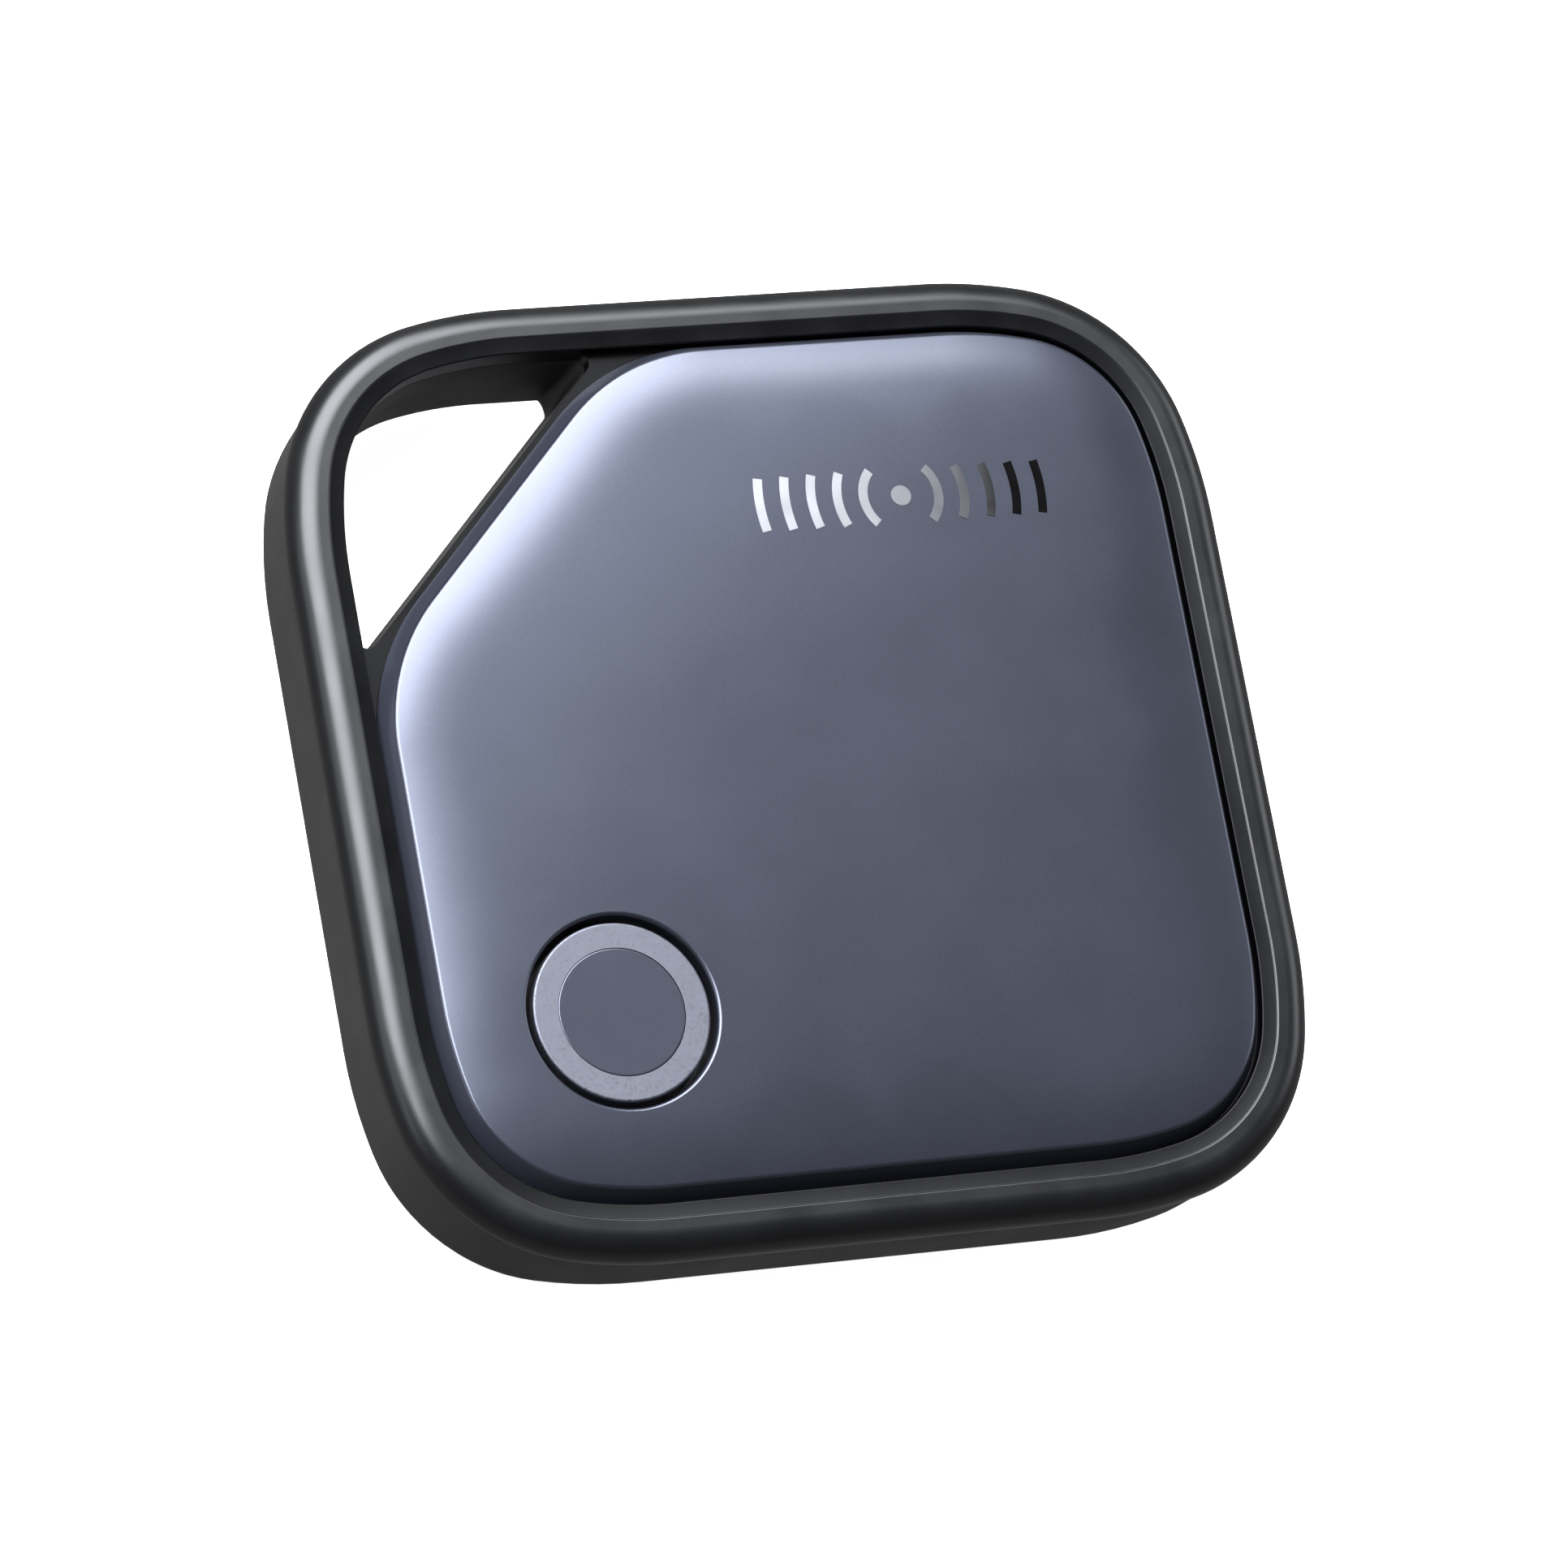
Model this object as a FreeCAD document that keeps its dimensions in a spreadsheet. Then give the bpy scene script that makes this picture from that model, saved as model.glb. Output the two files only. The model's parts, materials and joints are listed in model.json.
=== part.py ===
import FreeCAD, Part
import math
import os
import Sketcher

# Tracker tag: a flat square case lying on its back, with a key-ring hole through one corner.
# Frame: millimetres, +Z out of the front panel, +Y towards the edge beside the hole, +X to the right
# when the tag is seen from the front. The origin is the centre of the back face's square.

Vector = FreeCAD.Vector

doc = FreeCAD.newDocument("tracker_tag")
sheet = doc.addObject("Spreadsheet::Sheet", "Params")

DIMENSIONS = [
    # the square outline and its corners, each made of a flat, a tight and a flat arc
    ("half_width", 19.5),
    ("corner_big_radius", 19.15),
    ("corner_small_radius", 7.9),
    ("corner_sweep", 12.85),
    # heights of the case
    ("skin", 0.9),
    ("seam_z", 5.9),
    ("seam_gap", 0.06),
    ("seam_break", 0.1),
    ("deck_top", 6.55),
    ("frame_top", 7.2),
    ("frame_round", 1.07),
    # insets from the outline, and distances of the slanted sides from the centre
    ("back_inset", 0.42),
    ("wall_inset", 0.1),
    ("back_round", 2.2),
    ("inner_inset", 1.6),
    ("rim_inset", 1.53),
    ("rim_step", 0.1),
    ("ledge_inset", 2.13),
    ("hole_slant", 16.03),
    ("hole_tip_radius", 0.4),
    ("hole_back_round", 0.75),
    ("slant_wall", 0.9),
    ("slant_blend", 8.0),
    ("rib_gap", 0.15),
    ("rib_thickness", 0.8),
    ("rib_depth", 1.2),
    ("seal_inset", 0.8),
    ("seal_width", 0.4),
    ("seal_depth", 0.35),
    # front panel
    ("panel_base_inset", 2.19),
    ("panel_base_slant", 15.81),
    ("panel_blend", 8.9),
    ("panel_bottom", 6.64),
    ("panel_bevel_angle", 23.5),
    ("panel_crown", 8.08),
    ("panel_dome_radius", 420.0),
    ("panel_hole_chamfer", 0.1),
    ("adhesive_margin", 0.7),
    ("adhesive_thickness", 0.07),
    # button
    ("button_x", -9.81),
    ("button_y", -9.87),
    ("button_hole_radius", 3.95),
    ("button_ring_outer", 3.6),
    ("button_ring_inner", 2.6),
    ("button_top", 7.85),
    ("button_floor", 7.12),
    ("carrier_thickness", 0.2),
    ("carrier_stem_radius", 1.3),
    ("carrier_stem_bottom", 5.12),
    ("carrier_collar_radius", 1.85),
    ("membrane_height", 0.35),
    # coin cell and its well
    ("cell_x", 5.8),
    ("cell_y", 0.6),
    ("cell_bottom", 1.16),
    ("cell_radius", 10.0),
    ("cell_height", 3.2),
    ("can_thickness", 0.25),
    ("cap_radius", 8.9),
    ("well_inner_radius", 10.25),
    ("well_outer_radius", 10.95),
    ("well_bottom", 1.4),
    ("well_top", 3.95),
    ("ear_thickness", 0.6),
    ("boss_circle", 12.75),
    ("boss_radius", 1.3),
    ("screw_radius", 0.48),
    ("screw_head_radius", 1.05),
    ("screw_head_height", 0.55),
    # circuit board
    ("board_bottom", 3.1),
    ("board_thickness", 0.8),
    ("board_inset", 2.85),
    ("board_slant", 13.85),
    ("board_cutout_radius", 11.1),
    ("switch_size", 3.4),
    ("switch_height", 0.7),
    ("plunger_radius", 0.75),
    # sounder
    ("piezo_x", -3.4),
    ("piezo_y", 0.6),
    ("piezo_radius", 7.7),
    ("piezo_plate_thickness", 0.15),
    ("ceramic_radius", 5.6),
    ("ceramic_thickness", 0.14),
    ("piezo_glue_thickness", 0.08),
    ("contact_thickness", 0.15),
]


class Size:
    """A length that carries both its number and the spreadsheet expression behind it."""

    def __init__(self, value, text):
        self.value = value
        self.text = text

    def combine(self, other, sign, value):
        text = other.text if isinstance(other, Size) else repr(float(other))
        return Size(value, "(" + self.text + " " + sign + " " + text + ")")

    def __add__(self, other):
        return self.combine(other, "+", self.value + number(other))

    def __sub__(self, other):
        return self.combine(other, "-", self.value - number(other))

    def __mul__(self, other):
        return self.combine(other, "*", self.value * number(other))

    def __neg__(self):
        return Size(-self.value, "(-1 * " + self.text + ")")


def number(size):
    return size.value if isinstance(size, Size) else float(size)


class Dimensions:
    """Every spreadsheet cell as an attribute holding its Size."""


dim = Dimensions()
for row, (alias, value) in enumerate(DIMENSIONS, start=1):
    sheet.set("A" + str(row), alias)
    sheet.set("B" + str(row), str(value))
    sheet.setAlias("B" + str(row), alias)
    setattr(dim, alias, Size(value, "Params." + alias))
doc.recompute()

BOARD_TOP = dim.board_bottom + dim.board_thickness
DECK_BOTTOM = dim.seam_z
CELL_TOP = dim.cell_bottom + dim.cell_height
BOSS_ANGLES = (45.0, 128.0, 232.0, 315.0)
SIDE_CONTACT_ANGLE = 196.0

node_objects = []


def bind(thing, path, size):
    """Set a property from a Size through its expression, or from a plain number."""
    if isinstance(size, Size):
        thing.setExpression(path, size.text)
    else:
        thing.setExpression(path, repr(float(size)))


def as_node(thing, label):
    """Mark an object as one finished sub-part, under the label that names its file."""
    thing.Label = label
    node_objects.append(thing)
    return thing


def place(thing, x, y, z=0.0):
    bind(thing, "Placement.Base.x", x)
    bind(thing, "Placement.Base.y", y)
    bind(thing, "Placement.Base.z", z)


# ---------------------------------------------------------------- sketches


def new_body(label):
    body = doc.addObject("PartDesign::Body", label)
    return as_node(body, label)


def origin_plane(body, role):
    return [plane for plane in body.Origin.OriginFeatures if plane.Role == role][0]


def new_sketch(body, name, height=0.0, role="XY_Plane"):
    sketch = body.newObject("Sketcher::SketchObject", body.Label + "_" + name)
    sketch.AttachmentSupport = [(origin_plane(body, role), "")]
    sketch.MapMode = "FlatFace"
    bind(sketch, "AttachmentOffset.Base.z", height)
    return sketch


def drive(sketch, constraint, size):
    """Add a dimension to a sketch and tie it to its Size."""
    index = sketch.addConstraint(constraint)
    name = "d" + str(index)
    sketch.renameConstraint(index, name)
    bind(sketch, "Constraints." + name, size)


def locate(sketch, geometry, point, x, y):
    """Hold a sketch point at x, y from the sketch's origin."""
    for axis, kind, size in ((-2, "DistanceX", x), (-1, "DistanceY", y)):
        if abs(number(size)) < 1e-9:
            sketch.addConstraint(Sketcher.Constraint("PointOnObject", geometry, point, axis))
        elif number(size) > 0:
            drive(sketch, Sketcher.Constraint(kind, -1, 1, geometry, point, number(size)), size)
        else:
            flipped = -size if isinstance(size, Size) else -number(size)
            drive(sketch, Sketcher.Constraint(kind, geometry, point, -1, 1, -number(size)), flipped)


def add_polygon(sketch, corners):
    """A closed straight-sided outline through corners given as (x, y) sizes."""
    points = [Vector(number(x), number(y), 0) for x, y in corners]
    first = sketch.GeometryCount
    count = len(points)
    for index in range(count):
        sketch.addGeometry(Part.LineSegment(points[index], points[(index + 1) % count]))
    for index, (x, y) in enumerate(corners):
        following = first + (index + 1) % count
        sketch.addConstraint(Sketcher.Constraint("Coincident", first + index, 2, following, 1))
        locate(sketch, first + index, 1, x, y)


def add_circle(sketch, x, y, radius):
    centre = Vector(number(x), number(y), 0)
    geometry = sketch.addGeometry(Part.Circle(centre, Vector(0, 0, 1), number(radius)))
    drive(sketch, Sketcher.Constraint("Radius", geometry, number(radius)), radius)
    locate(sketch, geometry, 3, x, y)


def arc(centre, radius, start, end):
    return Part.ArcOfCircle(Part.Circle(centre, Vector(0, 0, 1), radius), start, end)


def polar(radius, angle):
    return Vector(radius * math.cos(angle), radius * math.sin(angle), 0)


def corner_arcs(inset, quarter):
    """The flat, tight and flat arcs of one corner, turned by quarter turns from the +X +Y corner."""
    half = dim.half_width.value - number(inset)
    big = dim.corner_big_radius.value - number(inset)
    small = dim.corner_small_radius.value - number(inset)
    sweep = math.radians(dim.corner_sweep.value)
    reach = big - (big - small) * (math.cos(sweep) - math.sin(sweep))
    centre_first = Vector(half - big, half - reach, 0)
    centre_tight = centre_first + polar(big - small, sweep)
    centre_last = centre_tight - polar(big - small, math.pi / 2 - sweep)
    turn = FreeCAD.Rotation(Vector(0, 0, 1), 90 * quarter)
    angle = quarter * math.pi / 2
    return [
        arc(turn.multVec(centre_first), big, angle, angle + sweep),
        arc(turn.multVec(centre_tight), small, angle + sweep, angle + math.pi / 2 - sweep),
        arc(turn.multVec(centre_last), big, angle + math.pi / 2 - sweep, angle + math.pi / 2),
    ]


def add_chain(sketch, pieces):
    """Add pieces that follow each other tangentially into a closed loop."""
    first = sketch.GeometryCount
    for piece in pieces:
        sketch.addGeometry(piece)
    for index in range(len(pieces)):
        following = first + (index + 1) % len(pieces)
        sketch.addConstraint(Sketcher.Constraint("Tangent", first + index, 2, following, 1))
    return first


def drive_corner(sketch, first, inset):
    """Tie the three arcs of a corner to the spreadsheet."""
    big = dim.corner_big_radius - inset
    small = dim.corner_small_radius - inset
    sweep = math.radians(dim.corner_sweep.value)
    sweep_size = Size(dim.corner_sweep.value, "Params.corner_sweep * 1 deg")
    for index, radius in ((first, big), (first + 1, small), (first + 2, big)):
        drive(sketch, Sketcher.Constraint("Radius", index, radius.value), radius)
    for index in (first, first + 2):
        drive(sketch, Sketcher.Constraint("Angle", index, sweep), sweep_size)


def hold_sides(sketch, sides, inset):
    """Keep the straight sides level or upright, at the outline's inset from the centre."""
    half = dim.half_width - inset
    for name, geometry in sides.items():
        level = name in ("top", "bottom")
        sketch.addConstraint(Sketcher.Constraint("Horizontal" if level else "Vertical", geometry))
        kind = "DistanceY" if level else "DistanceX"
        if name in ("top", "right"):
            drive(sketch, Sketcher.Constraint(kind, -1, 1, geometry, 1, half.value), half)
        else:
            drive(sketch, Sketcher.Constraint(kind, geometry, 1, -1, 1, half.value), half)


def add_outline(sketch, inset):
    """The case's whole rounded square, inset from its largest outline."""
    corners = [corner_arcs(inset, quarter) for quarter in range(4)]
    pieces = []
    for quarter in range(4):
        pieces += corners[quarter]
        start = corners[quarter][2].EndPoint
        pieces.append(Part.LineSegment(start, corners[(quarter + 1) % 4][0].StartPoint))
    first = add_chain(sketch, pieces)
    sides = {"top": first + 3, "left": first + 7, "bottom": first + 11, "right": first + 15}
    hold_sides(sketch, sides, inset)
    for quarter in range(4):
        drive_corner(sketch, first + 4 * quarter, inset)


def add_cut_outline(sketch, inset, slant, blend):
    """The rounded square with its -X +Y corner cut off by a side at 45 degrees.

    slant is the distance of that side from the centre, and blend the radius that joins it.
    """
    half = dim.half_width.value - number(inset)
    slope = number(slant) * math.sqrt(2)
    radius = number(blend)
    tangent = radius * math.tan(math.pi / 8)
    step = tangent / math.sqrt(2)
    top_corner = Vector(half - slope, half, 0)
    left_corner = Vector(-half, slope - half, 0)
    top_arc = arc(top_corner + Vector(tangent, -radius, 0), radius, math.pi / 2, math.pi * 3 / 4)
    left_arc = arc(left_corner + Vector(radius, -tangent, 0), radius, math.pi * 3 / 4, math.pi)
    slanted = Part.LineSegment(top_corner + Vector(-step, -step, 0), left_corner + Vector(step, step, 0))
    corners = {quarter: corner_arcs(inset, quarter) for quarter in (0, 2, 3)}
    pieces = list(corners[0])
    pieces.append(Part.LineSegment(corners[0][2].EndPoint, top_arc.StartPoint))
    pieces += [top_arc, slanted, left_arc]
    pieces.append(Part.LineSegment(left_arc.EndPoint, corners[2][0].StartPoint))
    pieces += corners[2]
    pieces.append(Part.LineSegment(corners[2][2].EndPoint, corners[3][0].StartPoint))
    pieces += corners[3]
    pieces.append(Part.LineSegment(corners[3][2].EndPoint, corners[0][0].StartPoint))
    first = add_chain(sketch, pieces)
    sides = {"top": first + 3, "left": first + 7, "bottom": first + 11, "right": first + 15}
    hold_sides(sketch, sides, inset)
    for start in (first, first + 8, first + 12):
        drive_corner(sketch, start, inset)
    for index in (first + 4, first + 6):
        drive(sketch, Sketcher.Constraint("Radius", index, radius), blend)
    eighth = Size(45.0, "45 deg")
    drive(sketch, Sketcher.Constraint("Angle", first + 4, math.pi / 4), eighth)
    drive(sketch, Sketcher.Constraint("Distance", -1, 1, first + 5, number(slant)), slant)


def add_hole_outline(sketch):
    """The key-ring hole: the case's corner curve on two sides and the slanted side on the third."""
    inset = dim.ledge_inset
    half = dim.half_width.value - inset.value
    slope = dim.hole_slant.value * math.sqrt(2)
    radius = dim.hole_tip_radius.value
    tangent = radius / math.tan(math.pi / 8)
    step = tangent / math.sqrt(2)
    top_tip = Vector(half - slope, half, 0)
    left_tip = Vector(-half, slope - half, 0)
    corner = corner_arcs(inset, 1)
    top_arc = arc(top_tip + Vector(-tangent, -radius, 0), radius, -math.pi / 4, math.pi / 2)
    left_arc = arc(left_tip + Vector(radius, tangent, 0), radius, -math.pi, -math.pi / 4)
    slanted = Part.LineSegment(left_tip + Vector(step, step, 0), top_tip + Vector(-step, -step, 0))
    pieces = list(corner)
    pieces.append(Part.LineSegment(corner[2].EndPoint, left_arc.StartPoint))
    pieces += [left_arc, slanted, top_arc]
    pieces.append(Part.LineSegment(top_arc.EndPoint, corner[0].StartPoint))
    first = add_chain(sketch, pieces)
    hold_sides(sketch, {"left": first + 3, "top": first + 7}, inset)
    drive_corner(sketch, first, inset)
    for index in (first + 4, first + 6):
        drive(sketch, Sketcher.Constraint("Radius", index, radius), dim.hole_tip_radius)
    sketch.addConstraint(Sketcher.Constraint("Angle", first + 4, math.pi * 3 / 4))
    drive(sketch, Sketcher.Constraint("Distance", -1, 1, first + 5, dim.hole_slant.value), dim.hole_slant)


# ---------------------------------------------------------------- solid features


def finish_feature(body, feature, grows):
    """Recompute, and stop if a feature failed or left the solid as it was."""
    previous = feature.BaseFeature.Shape.Volume if feature.BaseFeature else 0.0
    doc.recompute()
    change = feature.Shape.Volume - previous
    if not feature.isValid() or (change <= 0 if grows else change >= 0):
        raise RuntimeError(body.Label + ": " + feature.Name + " changed the volume by " + str(change))
    return feature


def add_pad(body, sketch, length, reversed_=False, taper=None):
    feature = body.newObject("PartDesign::Pad", sketch.Name + "_pad")
    feature.Profile = sketch
    bind(feature, "Length", length)
    feature.Reversed = reversed_
    if taper is not None:
        bind(feature, "TaperAngle", taper)
    return finish_feature(body, feature, True)


def add_pocket(body, sketch, depth=None, upwards=False):
    """Cut a sketch into the body, downwards or upwards, by a depth or right through."""
    feature = body.newObject("PartDesign::Pocket", sketch.Name + "_pocket")
    feature.Profile = sketch
    if depth is None:
        feature.Type = "ThroughAll"
    else:
        bind(feature, "Length", depth)
    feature.Reversed = upwards
    return finish_feature(body, feature, False)


def add_revolution(body, sketch):
    feature = body.newObject("PartDesign::Revolution", sketch.Name + "_revolution")
    feature.Profile = sketch
    feature.ReferenceAxis = (sketch, ["V_Axis"])
    return finish_feature(body, feature, True)


def edge_names(shape, test):
    """Names of the edges whose bounding box passes a test."""
    names = []
    for index, edge in enumerate(shape.Edges, start=1):
        if test(edge.BoundBox):
            names.append("Edge" + str(index))
    return names


def add_dressing(body, kind, size, test):
    """A fillet or chamfer on the edges of the body's last feature that pass a test."""
    last = body.Tip
    edges = edge_names(last.Shape, test)
    feature = body.newObject("PartDesign::" + kind, body.Label + "_" + kind.lower() + str(len(body.Group)))
    feature.Base = (last, edges)
    bind(feature, "Radius" if kind == "Fillet" else "Size", size)
    return finish_feature(body, feature, False)


def flat_at(extent, height):
    """True for an edge's bounding box that lies level at a height."""
    return abs(extent.ZMin - height) < 1e-4 and abs(extent.ZMax - height) < 1e-4


def turned(label, profile, x, y):
    """A round piece: a profile of (radius, height) corners turned about an upright axis at x, y."""
    body = new_body(label)
    sketch = new_sketch(body, "profile", role="XZ_Plane")
    add_polygon(sketch, profile)
    add_revolution(body, sketch)
    place(body, x, y)
    return body


def rectangle_profile(inner, outer, bottom, top):
    return [(inner, bottom), (outer, bottom), (outer, top), (inner, top)]


def box(label, size, centre, bottom, angle=0.0):
    """A square-edged block of size (x, y, z), standing on bottom with its middle at centre."""
    block = doc.addObject("Part::Box", label)
    for path, length in zip(("Length", "Width", "Height"), size):
        bind(block, path, length)
    half = Vector(-number(size[0]) / 2, -number(size[1]) / 2, 0)
    turn = FreeCAD.Rotation(Vector(0, 0, 1), angle)
    corner = turn.multVec(half)
    block.Placement = FreeCAD.Placement(Vector(0, 0, 0), turn)
    place(block, centre[0] + corner.x, centre[1] + corner.y, bottom)
    return block


def cylinder(label, radius, height, centre, bottom):
    rod = doc.addObject("Part::Cylinder", label)
    bind(rod, "Radius", radius)
    bind(rod, "Height", height)
    place(rod, centre[0], centre[1], bottom)
    return rod


def joined(label, pieces):
    fuse = doc.addObject("Part::MultiFuse", label)
    fuse.Shapes = pieces
    return fuse


def grouped(label, pieces):
    """Several separate solids kept as one sub-part."""
    group = doc.addObject("Part::Compound", label)
    group.Links = pieces
    return as_node(group, label)


def around_cell(radius, angle):
    """A point on a circle about the coin cell's axis."""
    turn = math.radians(angle)
    return dim.cell_x + radius.value * math.cos(turn), dim.cell_y + radius.value * math.sin(turn)


# ---------------------------------------------------------------- rear cover


def make_rear_cover():
    """The tub: tapered walls, a rounded back edge, the hole's collar and the cell's cradle."""
    body = new_body("rear_cover")
    sketch = new_sketch(body, "back")
    add_outline(sketch, dim.back_inset)
    height = dim.seam_z - dim.seam_gap
    draft = math.degrees(math.atan2(dim.back_inset.value - dim.wall_inset.value, height.value))
    add_pad(body, sketch, height, taper=draft)
    add_dressing(body, "Fillet", dim.back_round, lambda extent: flat_at(extent, 0.0))

    inside = new_sketch(body, "inside", dim.skin)
    add_cut_outline(inside, dim.inner_inset, dim.hole_slant - dim.slant_wall, dim.slant_blend)
    add_pocket(body, inside, upwards=True)

    hole = new_sketch(body, "hole")
    add_hole_outline(hole)
    add_pocket(body, hole, upwards=True)
    reach = dim.half_width.value - dim.ledge_inset.value

    def is_hole_edge(extent):
        low = extent.ZMax < dim.skin.value / 2
        in_corner = extent.XMax < 0 and extent.YMin > 0
        within = extent.XMin > -reach - 0.01 and extent.YMax < reach + 0.01
        return low and in_corner and within

    add_dressing(body, "Fillet", dim.hole_back_round, is_hole_edge)

    groove = new_sketch(body, "seal_groove", height)
    gap = 0.03
    slant = dim.hole_slant - (dim.slant_wall - dim.seal_width) * 0.5
    add_cut_outline(groove, dim.seal_inset - gap, slant + gap, dim.slant_blend + 0.6)
    inner_slant = slant - dim.seal_width
    add_cut_outline(groove, dim.seal_inset + dim.seal_width + gap, inner_slant - gap, dim.slant_blend + 0.2)
    add_pocket(body, groove, dim.seal_depth)

    notch = new_sketch(body, "pry_notch", height)
    notch_half = 4.0
    notch_height = 0.7
    near = dim.half_width - 0.62
    far = dim.half_width + 1.0
    add_polygon(notch, [
        (near, -notch_half),
        (far, -notch_half),
        (far, notch_half),
        (near, notch_half),
    ])
    add_pocket(body, notch, notch_height)

    cradle = new_sketch(body, "cradle", dim.skin)
    add_circle(cradle, dim.cell_x, dim.cell_y, dim.well_inner_radius)
    add_circle(cradle, dim.cell_x, dim.cell_y, dim.well_outer_radius)
    add_pad(body, cradle, dim.well_bottom - dim.skin - 0.1)

    post_radius = 0.9
    post_gap = 0.05
    posts = new_sketch(body, "posts", dim.skin)
    for x, y in ((-13.4, -13.4), (-13.6, 2.4), (6.0, -14.9), (6.0, 14.9)):
        add_circle(posts, x, y, post_radius)
    add_pad(body, posts, dim.board_bottom - dim.skin - post_gap)


def make_cover_seal():
    body = new_body("cover_seal")
    top = dim.seam_z - dim.seam_gap
    sketch = new_sketch(body, "ring", top - dim.seal_depth + 0.01)
    slant = dim.hole_slant - (dim.slant_wall - dim.seal_width) * 0.5
    add_cut_outline(sketch, dim.seal_inset, slant, dim.slant_blend + 0.57)
    add_cut_outline(sketch, dim.seal_inset + dim.seal_width, slant - dim.seal_width, dim.slant_blend + 0.23)
    add_pad(body, sketch, dim.seal_depth + dim.seam_gap - 0.03)


# ---------------------------------------------------------------- front frame and panel


def make_front_frame():
    """The front bezel, its sunken deck, the rib that enters the rear cover, and the screw bosses."""
    body = new_body("front_frame")
    sketch = new_sketch(body, "outline", dim.seam_z)
    add_outline(sketch, 0.0)
    add_pad(body, sketch, dim.frame_top - dim.seam_z)
    for size, height in ((dim.frame_round, dim.frame_top), (dim.seam_break, dim.seam_z)):
        add_dressing(body, "Fillet", size, lambda extent: flat_at(extent, height.value))

    ledge = new_sketch(body, "ledge", dim.frame_top)
    add_outline(ledge, dim.rim_inset)
    add_pocket(body, ledge, dim.rim_step)

    recess = new_sketch(body, "recess", dim.frame_top)
    add_outline(recess, dim.ledge_inset)
    add_pocket(body, recess, dim.frame_top - dim.deck_top)

    rib = new_sketch(body, "rib", dim.seam_z)
    rib_inset = dim.inner_inset + dim.rib_gap
    rib_slant = dim.hole_slant - dim.slant_wall - dim.rib_gap
    rib_blend = dim.slant_blend - dim.rib_gap
    add_cut_outline(rib, rib_inset, rib_slant, rib_blend)
    thickness = dim.rib_thickness
    add_cut_outline(rib, rib_inset + thickness, rib_slant - thickness, rib_blend - thickness)
    add_pad(body, rib, dim.rib_depth, reversed_=True)

    hole = new_sketch(body, "hole", dim.seam_z)
    add_hole_outline(hole)
    add_pocket(body, hole, upwards=True)

    bosses = new_sketch(body, "bosses", BOARD_TOP)
    for angle in BOSS_ANGLES:
        x, y = around_cell(dim.boss_circle, angle)
        add_circle(bosses, x, y, dim.boss_radius)
    add_pad(body, bosses, DECK_BOTTOM - BOARD_TOP + 0.1)
    pilots = new_sketch(body, "pilots", BOARD_TOP)
    for angle in BOSS_ANGLES:
        x, y = around_cell(dim.boss_circle, angle)
        add_circle(pilots, x, y, dim.screw_radius + 0.02)
    add_pocket(body, pilots, DECK_BOTTOM - BOARD_TOP - 0.3, upwards=True)

    stem_hole = new_sketch(body, "stem_hole", dim.seam_z - 1.0)
    add_circle(stem_hole, dim.button_x, dim.button_y, dim.carrier_stem_radius + 0.3)
    add_pocket(body, stem_hole, upwards=True)


def make_front_panel():
    """The domed plate with its steep bevelled edge and the button's hole."""
    body = new_body("front_panel")
    sketch = new_sketch(body, "base", dim.panel_bottom)
    add_cut_outline(sketch, dim.panel_base_inset, dim.panel_base_slant, dim.panel_blend)
    add_pad(body, sketch, dim.panel_crown - dim.panel_bottom + 0.2, taper=-dim.panel_bevel_angle)

    dome = new_sketch(body, "dome", role="XZ_Plane")
    reach = 32.0
    drop = dim.panel_dome_radius.value - math.sqrt(dim.panel_dome_radius.value ** 2 - reach ** 2)
    crown = dim.panel_crown
    centre = Vector(0, crown.value - dim.panel_dome_radius.value, 0)
    tilt = math.asin(reach / dim.panel_dome_radius.value)
    curve = dome.addGeometry(arc(centre, dim.panel_dome_radius.value, math.pi / 2 - tilt, math.pi / 2))
    top = crown.value + 1.0
    corners = [
        Vector(0, crown.value, 0),
        Vector(0, top, 0),
        Vector(reach, top, 0),
        Vector(reach, crown.value - drop, 0),
    ]
    lines = []
    for start, end in zip(corners, corners[1:]):
        lines.append(dome.addGeometry(Part.LineSegment(start, end)))
    dome.addConstraint(Sketcher.Constraint("Coincident", curve, 2, lines[0], 1))
    dome.addConstraint(Sketcher.Constraint("Coincident", lines[0], 2, lines[1], 1))
    dome.addConstraint(Sketcher.Constraint("Coincident", lines[1], 2, lines[2], 1))
    dome.addConstraint(Sketcher.Constraint("Coincident", lines[2], 2, curve, 1))
    dome.addConstraint(Sketcher.Constraint("PointOnObject", curve, 3, -2))
    drive(dome, Sketcher.Constraint("Radius", curve, dim.panel_dome_radius.value), dim.panel_dome_radius)
    locate(dome, lines[0], 1, 0.0, crown)
    locate(dome, lines[1], 1, 0.0, crown + 1.0)
    locate(dome, lines[2], 1, reach, crown + 1.0)
    dome.addConstraint(Sketcher.Constraint("Vertical", lines[2]))
    groove = body.newObject("PartDesign::Groove", "front_panel_dome_groove")
    groove.Profile = dome
    groove.ReferenceAxis = (dome, ["V_Axis"])
    finish_feature(body, groove, False)

    hole = new_sketch(body, "button_hole", dim.panel_bottom)
    add_circle(hole, dim.button_x, dim.button_y, dim.button_hole_radius)
    add_pocket(body, hole, upwards=True)
    span = 2 * dim.button_hole_radius.value

    def is_hole_rim(extent):
        high = extent.ZMin > dim.panel_bottom.value + 0.5
        return high and abs(extent.XLength - span) < 0.02

    add_dressing(body, "Chamfer", dim.panel_hole_chamfer, is_hole_rim)


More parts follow.
